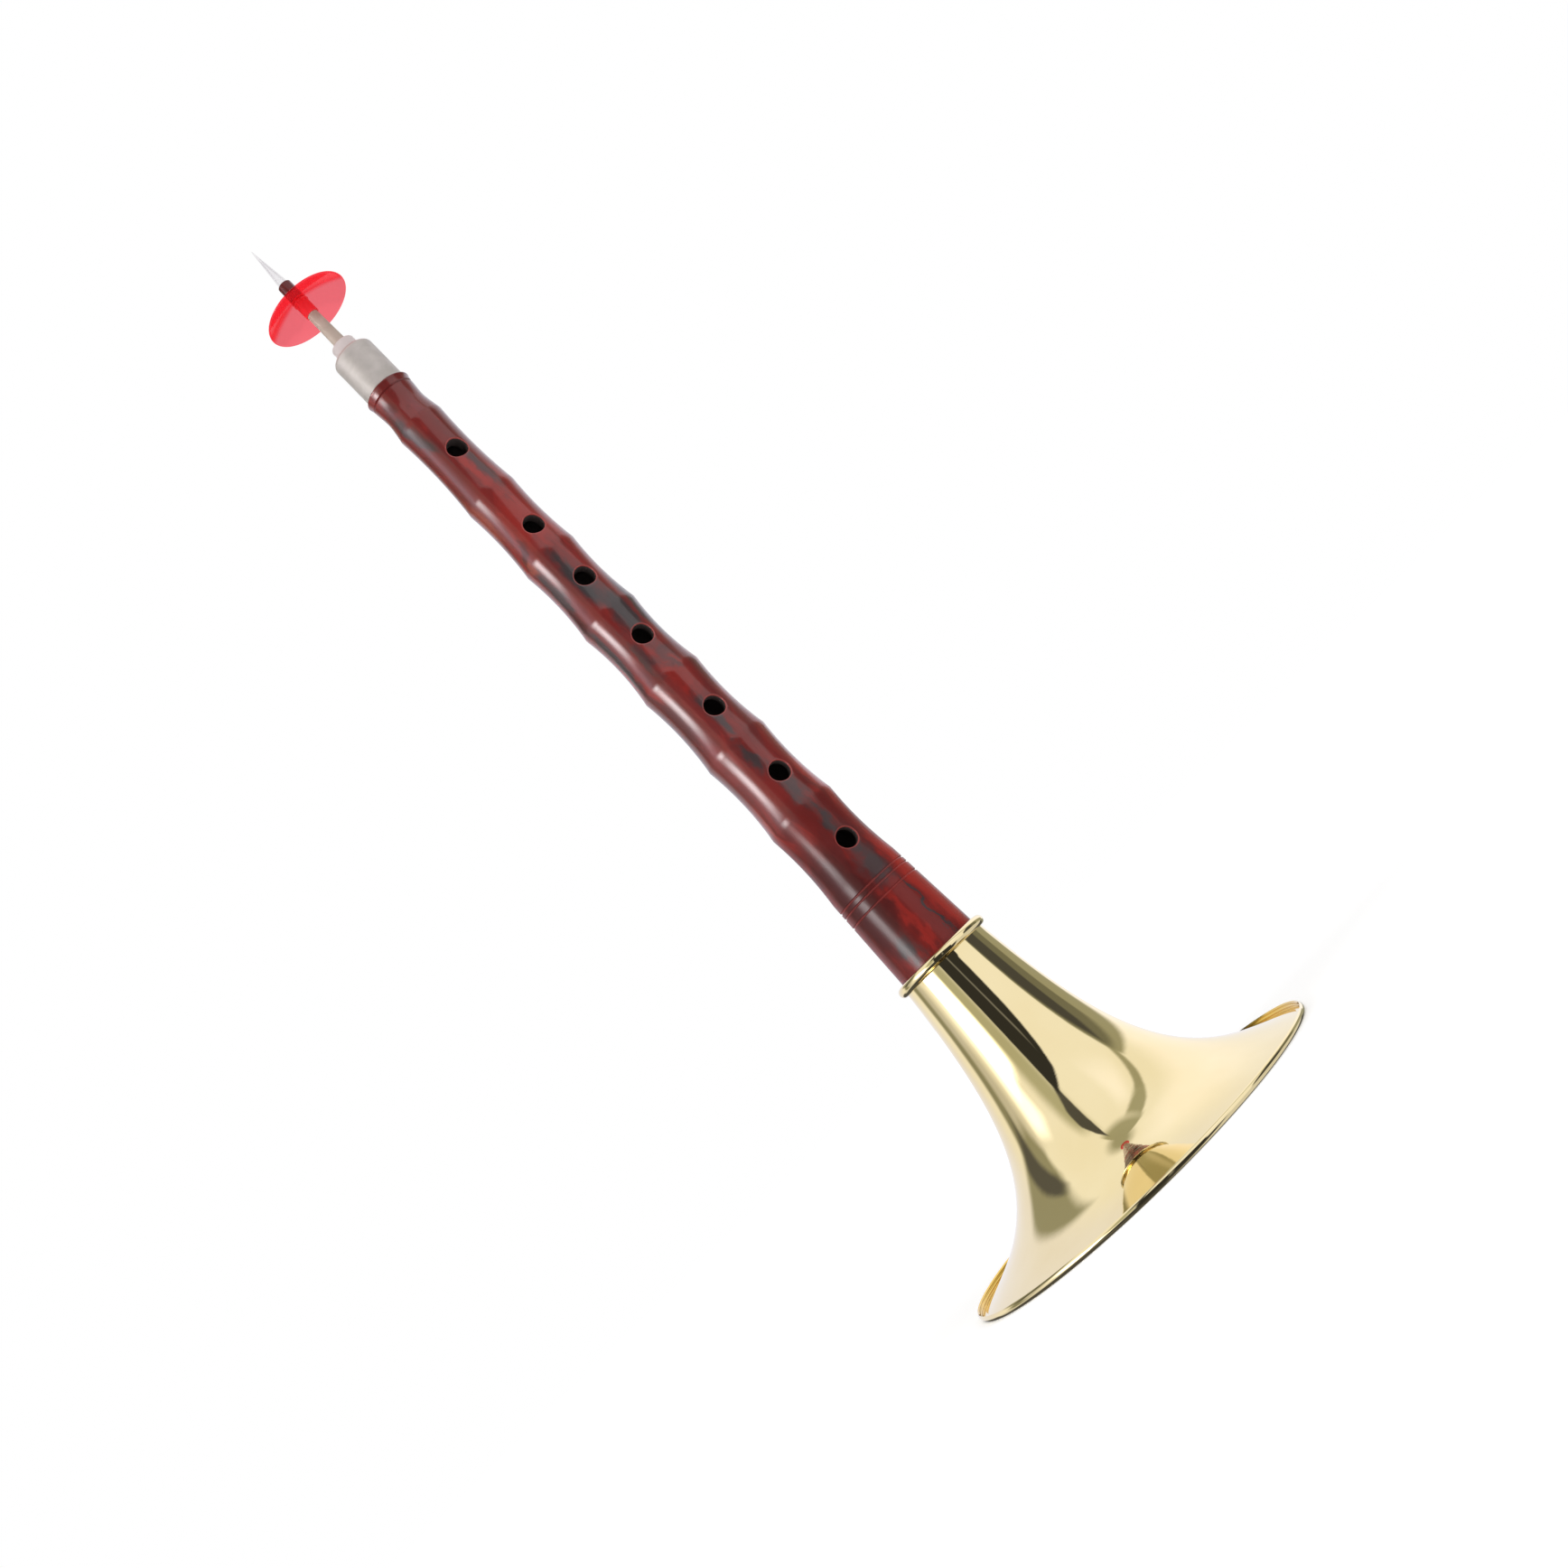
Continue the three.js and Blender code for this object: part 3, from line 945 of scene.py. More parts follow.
@dataclass(frozen=True)
class CorkGrain:
    """Sanded cork with dark flecks."""

    name: str = "cork_grain"
    light: Colour = (0.52, 0.30, 0.14)
    dark: Colour = (0.16, 0.07, 0.03)
    fleck_scale: float = 1100
    depth: float = 0.0001

    def material(self) -> bpy.types.Material:
        """Builds the node material.

        Returns:
            The material.
        """
        material, bench = new_material(self.name)
        flecks = bench.noise(bench.place(), self.fleck_scale, 4)
        shader = bench.principled(
            {
                "Base Color": bench.blend(bench.span(flecks, 0.5, 0.68), self.light, self.dark),
                "Roughness": bench.span(flecks, 0.3, 0.8, 0.75, 0.95),
                "Normal": bench.bump(flecks, self.depth),
            }
        )
        bench.finish(shader)
        return material


@dataclass
class Bell:
    """The spun bell with its rolled rim, and the bead round its neck."""

    height: float = 86.45
    rim_radius: float = 66.8
    roll_radius: float = 1.2
    land_width: float = 1.6
    sheet: float = 0.6
    neck_height: float = 4.4
    flare_offset: float = 15.1
    flare_exponent: float = 0.9
    roll_angle: float = 150.0
    bead_height: float = 3.4
    bead_thickness: float = 1.65
    fit_gap: float = 0.3
    margin: float = 0.01
    facets: int = 256
    flare_steps: int = 96
    flare_crowding: float = 1.7
    roll_steps: int = 14
    bead_steps: int = 24

    def neck_radius(self, height: float) -> float:
        """Returns the radius of the neck's sheet, halfway through it."""
        return STEM.cone_radius(height - STEM.foot) + self.fit_gap + self.sheet / 2

    def flare_radius(self, height: float) -> float:
        """Works out the flare's curve.

        Args:
            height: Height above the rim's plane.

        Returns:
            The radius, halfway through the sheet.
        """
        neck_foot = self.height - self.neck_height
        mouth = self.rim_radius - self.roll_radius - self.land_width

        def horn(h: float) -> float:
            """Returns the horn's curve before it is scaled."""
            return ((h + self.flare_offset) / self.flare_offset) ** -self.flare_exponent

        share = (horn(height) - horn(neck_foot)) / (horn(self.sheet / 2) - horn(neck_foot))
        return lerp(self.neck_radius(neck_foot), mouth, share)

    def sheet_run(self) -> list[Point]:
        """Draws the sheet's middle line.

        Returns:
            The points, from the neck's top down the flare and round the roll.
        """
        neck_foot = self.height - self.neck_height
        mid = self.sheet / 2
        roll_centre = (self.rim_radius - self.roll_radius, self.roll_radius)
        run = [(self.neck_radius(self.height), self.height)]
        for step in range(self.flare_steps):
            share = 1 - (1 - step / self.flare_steps) ** self.flare_crowding
            height = lerp(neck_foot, mid, share)
            run.append((self.flare_radius(height), height))
        run += [(roll_centre[0] - self.land_width * (1 - s), mid) for s in (0, 0.15, 0.5, 0.85)]
        roll_end = -90 + self.roll_angle
        run += arc(roll_centre, self.roll_radius - mid, -90, roll_end, self.roll_steps)
        return run

    def spin_bell(self) -> bpy.types.Object:
        """Spins the bell, a sheet of even thickness.

        Returns:
            The bell.
        """
        run = self.sheet_run()
        half = self.sheet / 2 - self.margin
        outside = offset_run(run, -half)
        inside = offset_run(run, half)
        return Workbench.turn("bell_spun", [*outside, *reversed(inside)], self.facets, 50)

    def turn_bead(self) -> bpy.types.Object:
        """Turns the half-round bead that is soldered round the neck.

        Returns:
            The bead.
        """
        gap = self.sheet / 2 + 0.02
        foot = self.height - self.bead_height
        centre = foot + self.bead_height / 2
        steps = self.bead_steps
        angles = [math.radians(lerp(-90, 90, i / steps)) for i in range(steps + 1)]
        seat = self.neck_radius(foot) + self.sheet / 2 + self.fit_gap
        bead = [
            (
                seat + self.bead_thickness * math.cos(a),
                centre + self.bead_height / 2 * math.sin(a),
            )
            for a in angles
        ]
        bore = [
            (self.neck_radius(self.height) + gap, self.height),
            (self.neck_radius(foot) + gap, foot),
        ]
        return Workbench.turn("bell_bead", [*bead, *bore], self.facets, 50)

    def build(self) -> None:
        """Builds and dresses the bell and its bead."""
        brass = SpunBrass().material()
        Workbench.dress(self.spin_bell(), brass, Body.BELL, Slot.BELL_BRASS, "bell")
        bead_brass = SpunBrass("bead_brass", gloss=(0.05, 0.1), wave_depth=0.00003).material()
        Workbench.dress(
            self.turn_bead(), bead_brass, Body.BELL, Slot.BELL_BRASS, "bell_neck_ring"
        )


@dataclass
class Stem:
    """The knuckled wooden stem with its bore, its finger holes and its thumb hole."""

    foot: float = 68.55
    cone_length: float = 50.3
    knuckled_length: float = 206.9
    head_length: float = 16.85
    foot_radius: float = 15.4
    foot_chamfer: float = 0.6
    low_ridge_radius: float = 12.9
    top_ridge_radius: float = 8.65
    knuckle_dip: float = 1.0
    crest_round: float = 0.5
    lip_radius: float = 8.55
    lip_height: float = 3.1
    lip_round: float = 0.5
    head_dip: float = 1.0
    head_dip_share: float = 0.52
    groove_depth: float = 0.35
    groove_width: float = 0.8
    socket_radius: float = 5.8
    socket_depth: float = 26.0
    bore_top_radius: float = 3.7
    bore_foot_radius: float = 11.0
    hole_radius: float = 3.5
    hole_round: float = 0.45
    ridge_shares: tuple[float, ...] = (0, 0.132, 0.274, 0.419, 0.558, 0.695, 0.832, 1)
    dip_shares: tuple[float, ...] = (0.8, 1, 1.05, 1.15, 0.95, 0.75, 0.75)
    groove_shares: tuple[float, ...] = (0.809, 0.883, 0.924)
    hole_shares: tuple[float, ...] = (0.41, 0.45, 0.43, 0.54, 0.48, 0.33, 0.51)
    facets: int = 180
    hole_facets: int = 56
    knuckle_steps: int = 22
    cutter_reach: float = 4.0
    bore_margin: float = 0.75
    end_margin: float = 0.05

    @property
    def length(self) -> float:
        """Length of the stem."""
        return self.cone_length + self.knuckled_length + self.head_length

    def cone_radius(self, height: float) -> float:
        """Returns the radius of the smooth cone at a height above the foot."""
        return lerp(self.foot_radius, self.low_ridge_radius, height / self.cone_length)

    def ridges(self) -> list[Point]:
        """Places the ridges.

        Returns:
            Their radii and heights above the foot, lowest first.
        """
        return [
            (
                lerp(self.low_ridge_radius, self.top_ridge_radius, share),
                self.cone_length + share * self.knuckled_length,
            )
            for share in self.ridge_shares
        ]

    def cone_profile(self) -> list[Point]:
        """Draws the foot, the smooth cone and its turned lines.

        Returns:
            The points, from the foot up.
        """
        profile = [
            (self.cone_radius(0) - self.foot_chamfer, 0.0),
            (self.cone_radius(self.foot_chamfer), self.foot_chamfer),
        ]
        lift = self.groove_shares[0] * self.cone_length
        profile += [(self.cone_radius(lift * s), lift * s) for s in (0.2, 0.4, 0.6, 0.8, 0.95)]
        for share in self.groove_shares:
            height = share * self.cone_length
            for step in range(9):
                across = lerp(-1, 1, step / 8)
                depth = self.groove_depth * math.cos(across * math.pi / 2) ** 0.8
                at = height + across * self.groove_width / 2
                profile.append((self.cone_radius(at) - depth, at))
        return profile

    def knuckle_profile(self) -> list[Point]:
        """Draws the ridges and the hollows between them.

        Returns:
            The points, from the lowest ridge to the top one.
        """
        crests = self.ridges()
        profile = []
        for i, dip_share in enumerate(self.dip_shares):
            low, high = crests[i], crests[i + 1]
            for step in range(self.knuckle_steps):
                share = step / self.knuckle_steps
                dip = self.knuckle_dip * dip_share * 4 * share * (1 - share)
                profile.append((lerp(low[0], high[0], share) - dip, lerp(low[1], high[1], share)))
        profile.append(crests[-1])
        return profile

    def head_profile(self) -> list[Point]:
        """Draws the hollow above the top ridge, the fine line and the widening lip.

        Returns:
            The points, from the top ridge up.
        """
        ridge = (self.top_ridge_radius, self.length - self.head_length)
        lip_foot = self.length - self.lip_height
        dip = (
            self.top_ridge_radius - self.head_dip,
            lerp(ridge[1], lip_foot, self.head_dip_share),
        )
        shoulder_radius = self.lip_radius - self.lip_round
        half_line = self.groove_width / 2
        shoulder = (shoulder_radius, lip_foot - half_line)
        hollow = curve_through([ridge, dip, shoulder], 12)
        line = [
            (shoulder_radius - self.groove_depth * 0.8, lip_foot - half_line * 0.4),
            (shoulder_radius - self.groove_depth, lip_foot),
            (shoulder_radius - self.groove_depth * 0.6, lip_foot + half_line * 0.5),
        ]
        middle = (lerp(shoulder_radius, self.lip_radius, 0.4), lip_foot + self.lip_height / 2)
        lip_top = (self.lip_radius, self.length - self.lip_round)
        lip = curve_through([(shoulder_radius, lip_foot + half_line), middle, lip_top], 4)
        top = arc((shoulder_radius, self.length - self.lip_round), self.lip_round, 0, 90, 6)
        return [*hollow[1:], *line, *lip, *top[1:]]

    def bore_profile(self) -> list[Point]:
        """Draws the socket for the tuning slide and the conical bore.

        Returns:
            The points, from the top down.
        """
        floor = self.length - self.socket_depth
        bore = [
            (lerp(self.bore_top_radius, self.bore_foot_radius, s), lerp(floor, 0, s))
            for s in (0, 0.25, 0.5, 0.75, 1)
        ]
        return [(self.socket_radius, self.length), (self.socket_radius, floor), *bore]

    def surface_radius(self, profile: list[Point], height: float) -> float:
        """Finds the outside's radius at a height.

        Args:
            profile: The outside's profile.
            height: The height above the foot.

        Returns:
            The radius.
        """
        for here, there in zip(profile, profile[1:]):
            if here[1] <= height <= there[1] and there[1] > here[1]:
                return lerp(here[0], there[0], (height - here[1]) / (there[1] - here[1]))
        return profile[-1][0]

    def hole_cutter(self, outside: list[Point], height: float, side: int) -> bpy.types.Object:
        """Makes the cutter of one hole, which rounds the hole's edge as it follows the stem.

        Args:
            outside: The outside's profile.
            height: Height of the hole above the foot.
            side: -1 for the front and 1 for the back.

        Returns:
            The cutter.
        """
        rings = [(self.hole_radius, None), (self.hole_radius, -self.hole_round)]
        for a in map(math.radians, (18, 36, 54, 70)):
            rings.append(
                (
                    self.hole_radius + self.hole_round * (1 - math.cos(a)),
                    self.hole_round * (math.sin(a) - 1),
                )
            )
        brim = self.hole_radius + self.hole_round * 2.2
        rings += [(brim, self.hole_round * 0.6), (brim, self.cutter_reach)]
        Workbench.clear_selection()
        bpy.ops.mesh.primitive_circle_add(
            vertices=self.hole_facets,
            radius=self.hole_radius * MM,
            fill_type="NGON",
            location=(0, 0, 0),
            rotation=(math.radians(90), 0, 0),
        )
        cutter = bpy.context.object
        bpy.ops.object.transform_apply(location=True, rotation=True, scale=True)
        bpy.ops.object.mode_set(mode="EDIT")
        bpy.ops.mesh.select_mode(type="VERT")
        ring_sets: list[list[int]] = []
        mesh = bmesh.from_edit_mesh(cutter.data)
        ring_sets.append([v.index for v in mesh.verts])
        bpy.ops.mesh.select_all(action="SELECT")
        for _ in rings[1:]:
            bpy.ops.mesh.extrude_region_move(
                TRANSFORM_OT_translate={"value": (0, side * 0.2 * MM, 0)}
            )
            mesh = bmesh.from_edit_mesh(cutter.data)
            mesh.verts.ensure_lookup_table()
            ring_sets.append([v.index for v in mesh.verts if v.select])
        mesh = bmesh.from_edit_mesh(cutter.data)
        mesh.verts.ensure_lookup_table()
        for (radius, rise), indices in zip(rings, ring_sets):
            for index in indices:
                vertex = mesh.verts[index]
                around = math.atan2(vertex.co.z, vertex.co.x)
                across, up = radius * math.cos(around), radius * math.sin(around)
                surface = self.surface_radius(outside, height + up)
                reach = math.sqrt(max(surface**2 - across**2, 0))
                depth = 0.0 if rise is None else reach + rise
                vertex.co = Vector((across, side * depth, self.foot + height + up)) * MM
        bmesh.update_edit_mesh(cutter.data)
        bpy.ops.mesh.select_all(action="SELECT")
        bpy.ops.mesh.normals_make_consistent(inside=False)
        bpy.ops.object.mode_set(mode="OBJECT")
        return cutter

    def hole_places(self) -> list[tuple[float, int]]:
        """Places the finger holes and the thumb hole.

        Returns:
            Each hole's height above the foot, and its side: -1 for the front and 1 for the back.
        """
        crests = self.ridges()
        fingers = [
            lerp(low[1], high[1], share)
            for low, high, share in zip(crests, crests[1:], self.hole_shares)
        ]
        thumb = (fingers[-1] + fingers[-2]) / 2
        return [*((height, -1) for height in fingers), (thumb, 1)]

    def shade_bore(self, piece: bpy.types.Object, outside: list[Point]) -> None:
        """Gives the faces inside the bore and the holes the near-black painted shade.

        Args:
            piece: The turned stem.
            outside: The outside's profile.
        """
        piece.data.materials.append(BoreShade().material())
        Workbench.clear_selection()
        piece.select_set(True)
        bpy.context.view_layer.objects.active = piece
        bpy.ops.object.mode_set(mode="EDIT")
        bpy.ops.mesh.select_mode(type="FACE")
        mesh = bmesh.from_edit_mesh(piece.data)
        for face in mesh.faces:
            centre = face.calc_center_median() / MM
            reach = math.hypot(centre.x, centre.y)
            height = centre.z - self.foot
            surface = self.surface_radius(outside, height)
            between = self.end_margin < height < self.length - self.end_margin
            face.select_set(between and reach < surface - self.bore_margin)
        bmesh.update_edit_mesh(piece.data)
        piece.active_material_index = 1
        bpy.ops.object.material_slot_assign()
        bpy.ops.object.mode_set(mode="OBJECT")

    def build(self) -> None:
        """Builds and dresses the stem."""
        outside = [*self.cone_profile(), *self.knuckle_profile(), *self.head_profile()]
        profile = [(radius, height + self.foot) for radius, height in outside]
        profile += [(radius, height + self.foot) for radius, height in self.bore_profile()]
        piece = Workbench.turn("stem_turned", profile, self.facets, 32)
        lacquer = MarbledLacquer(
            lines=tuple(self.foot + share * self.cone_length for share in self.groove_shares),
            holes=tuple((self.foot + height, side) for height, side in self.hole_places()),
            hole_radius=self.hole_radius,
        )
        piece.data.materials.append(lacquer.material())
        for height, side in self.hole_places():
            Workbench.cut(piece, self.hole_cutter(outside, height, side))
        Workbench.smooth(piece, 32)
        self.shade_bore(piece, outside)
        Workbench.dress(
            piece, piece.data.materials[0], Body.STEM, Slot.LACQUERED_WOOD, "stem"
        )


STEM = Stem()


@dataclass
class Staple:
    """The conical metal tube that carries the disc and the reed."""

    foot: float = 351.55
    length: float = 41.1
    foot_radius: float = 2.6
    tip_radius: float = 1.75
    wall: float = 0.4

    def radius(self, height: float) -> float:
        """Returns the outside's radius at a height above the rim's plane."""
        return lerp(self.foot_radius, self.tip_radius, (height - self.foot) / self.length)

    def build(self) -> None:
        """Builds and dresses the staple."""
        tip = self.foot + self.length
        steps = [lerp(self.foot, tip, i / 12) for i in range(1, 12)]
        ease = self.wall / 4
        outside = [
            (self.radius(self.foot) - ease, self.foot),
            (self.radius(self.foot), self.foot + ease),
            *((self.radius(h), h) for h in steps),
            (self.radius(tip), tip - ease),
            (self.radius(tip) - ease, tip),
        ]
        inside = [(self.radius(tip) - self.wall, tip), (self.foot_radius - self.wall, self.foot)]
        piece = Workbench.turn("staple_cone", [*outside, *inside], 96, 40)
        metal = BrushedMetal(
            "drawn_staple",
            (0.48, 0.425, 0.36),
            (0.40, 0.35, 0.29),
            (0.60, 0.68),
            (1, 1, 0.03),
            depth=0.0000006,
            metallic=0.3,
        ).material()
        Workbench.dress(piece, metal, Body.STAPLE, Slot.STAPLE_METAL, "staple")


STAPLE = Staple()


@dataclass
class TuningSlide:
    """The corked tube in the stem's socket, with the sleeve and the bush that it carries."""

    foot: float = 342.9
    tube_radius: float = 4.2
    tube_wall: float = 0.6
    tube_reach: float = 6.0
    tube_depth: float = 25.4
    cork_thickness: float = 1.0
    cork_length: float = 20.0
    cork_setback: float = 2.0
    sleeve_radius: float = 7.55
    sleeve_length: float = 17.9
    sleeve_wall: float = 0.7
    sleeve_round: float = 1.6
    nose_radius: float = 4.33
    nose_length: float = 4.75
    nose_round: float = 0.5
    fit_gap: float = 0.3
    facets: int = 128

    def raised(self, profile: list[Point]) -> list[Point]:
        """Returns a profile lifted from the sleeve's foot to its place."""
        return [(radius, height + self.foot) for radius, height in profile]

    def draw_tube(self) -> bpy.types.Object:
        """Draws the tube.

        Returns:
            The tube.
        """
        inner = self.tube_radius - self.tube_wall
        ease = self.tube_wall / 4
        profile = [
            (self.tube_radius - ease, -self.tube_depth),
            (self.tube_radius, -self.tube_depth + ease),
            (self.tube_radius, self.tube_reach - ease),
            (self.tube_radius - ease, self.tube_reach),
            (inner, self.tube_reach),
            (inner, -self.tube_depth),
        ]
        return Workbench.turn("slide_tube_drawn", self.raised(profile), self.facets, 40)

    def wrap_cork(self) -> bpy.types.Object:
        """Wraps the ring of cork, eased at both ends.

        Returns:
            The ring.
        """
        bore = self.tube_radius + 0.05
        outer = self.tube_radius + self.fit_gap + self.cork_thickness
        top = -self.cork_setback
        foot = top - self.cork_length
        edge = self.cork_thickness / 2
        profile = [
            (bore, foot),
            (outer - edge, foot),
            *arc((outer - edge, foot + edge), edge, -80, 0, 5),
            *arc((outer - edge / 2, top - edge / 2), edge / 2, 0, 90, 4),
            (bore, top),
        ]
        return Workbench.turn("slide_cork_ring", self.raised(profile), self.facets, 40)

    def draw_sleeve(self) -> bpy.types.Object:
        """Draws the sleeve, closed over at its top edge.

        Returns:
            The sleeve.
        """
        centre = (self.sleeve_radius - self.sleeve_round, self.sleeve_length - self.sleeve_round)
        hole = self.nose_radius + 0.08
        ease = 0.12
        profile = [
            (self.sleeve_radius - ease, 0.0),
            (self.sleeve_radius, ease),
            (self.sleeve_radius, self.sleeve_length * 0.5),
            *arc(centre, self.sleeve_round, 0, 90, 14),
            (hole + ease, self.sleeve_length),
            (hole, self.sleeve_length - ease),
            (hole, self.sleeve_length - self.sleeve_wall),
            *arc(centre, self.sleeve_round - self.sleeve_wall, 90, 0, 8),
            (self.sleeve_radius - self.sleeve_wall, 0.0),
        ]
        return Workbench.turn("slide_sleeve_shell", self.raised(profile), self.facets, 40)

    def mould_bush(self) -> bpy.types.Object:
        """Moulds the bush, whose nose holds the staple.

        Returns:
            The bush.
        """
        outer = self.sleeve_radius - self.sleeve_wall - self.fit_gap
        shoulder = self.sleeve_length - self.sleeve_wall - self.fit_gap
        nose_top = self.sleeve_length + self.nose_length
        centre = (self.nose_radius - self.nose_round, nose_top - self.nose_round)
        ledge = self.tube_reach + self.fit_gap
        tight = 0.08

        def bore(height: float) -> float:
            """Returns the bore's radius, a little wider than the staple."""
            return STAPLE.radius(self.foot + height) + tight

        profile = [
            (outer, 0.0),
            (outer, shoulder - self.sleeve_round),
            (outer - self.sleeve_round, shoulder),
            (self.nose_radius, shoulder),
            *arc(centre, self.nose_round, 0, 90, 8),
            (bore(nose_top) + 0.15, nose_top),
            (bore(nose_top), nose_top - 0.15),
            (bore(ledge), ledge),
            (self.tube_radius + self.fit_gap, ledge),
            (self.tube_radius + self.fit_gap, 0.0),
        ]
        return Workbench.turn("seat_bush_moulded", self.raised(profile), self.facets, 40)

    def build(self) -> None:
        """Builds and dresses the four pieces of the slide."""
        tube_brass = BrushedMetal(
            "drawn_tube", (0.55, 0.40, 0.16), (0.42, 0.29, 0.11), (0.2, 0.34), (1, 1, 0.03)
        ).material()
        nickel = BrushedMetal(
            "satin_nickel",
            (0.52, 0.475, 0.45),
            (0.43, 0.395, 0.37),
            (0.50, 0.58),
            (0.03, 0.03, 1),
            depth=0.000002,
            metallic=0.45,
        ).material()
        bush = MouldedPlastic(
            "bush_white", (0.60, 0.55, 0.54), (0.55, 0.50, 0.49), (0.4, 0.55)
        ).material()
        cork = CorkGrain().material()
        slide = Body.TUNING_SLIDE
        Workbench.dress(self.draw_tube(), tube_brass, slide, Slot.TUBE_BRASS, "slide_tube")
        Workbench.dress(self.wrap_cork(), cork, slide, Slot.CORK, "slide_cork")
        Workbench.dress(self.draw_sleeve(), nickel, slide, Slot.NICKEL, "slide_sleeve")
        Workbench.dress(self.mould_bush(), bush, slide, Slot.BUSH_PLASTIC, "seat_bush")


@dataclass
class LipDisc:
    """The thin dished disc and the hub that grips the staple."""

    foot: float = 380.55
    disc_radius: float = 15.8
    thickness: float = 1.1
    rim_thickness: float = 0.6
    dome: float = 4.2
    dome_exponent: float = 1.6
    hub_radius: float = 2.5
    hub_length: float = 7.2
    fine_gap: float = 0.2
    steps: int = 32

    def build(self) -> None:
        """Builds and dresses the disc."""
        half, rim_half = self.thickness / 2, self.rim_thickness / 2
        crown = self.hub_length - half
        reach = self.disc_radius - self.hub_radius
        dish = []
        for step in range(self.steps + 1):
            radius = lerp(self.hub_radius, self.disc_radius - rim_half, step / self.steps)
            share = (radius - self.hub_radius) / reach
            dish.append((radius, crown - self.dome * share**self.dome_exponent))
        slope = math.degrees(math.atan2(-self.dome_exponent * self.dome, reach))
        rim = arc(dish[-1], rim_half, slope + 90, slope - 90, 10)
        above = offset_run(dish, -half, -rim_half)[1:-1]
        below = offset_run(dish, half, rim_half)[1:-1]
        foot_edge = 0.25
        profile = [
            (self.bore(self.hub_length), self.hub_length),
            (self.hub_radius, self.hub_length),
            *above,
            *rim,
            *reversed(below),
            (self.hub_radius + 0.12, crown - half - 0.15),
            (self.hub_radius, crown - half - 0.5),
            (self.hub_radius, foot_edge),
            (self.hub_radius - foot_edge, 0.0),
            (self.bore(0), 0.0),
        ]
        raised = [(radius, height + self.foot) for radius, height in profile]
        piece = Workbench.turn("lip_disc_dish", raised, 160, 40)
        red = TintedPlastic(
            "clear_red",
            (0.965, 0.41, 0.45),
            (0.97, 0.14, 0.18),
            (0.97, 0.06, 0.08),
            cover=(0.02, 0.26),
            gloss=0.09,
            shine=0.35,
            core_radius=self.hub_radius,
            core_cover=0.96,
        ).material()
        Workbench.dress(piece, red, Body.LIP_DISC, Slot.DISC_PLASTIC, "lip_disc")

    def bore(self, height: float) -> float:
        """Returns the radius of the hub's bore at a height above its foot."""
        return STAPLE.radius(self.foot + height) + self.fine_gap / 2


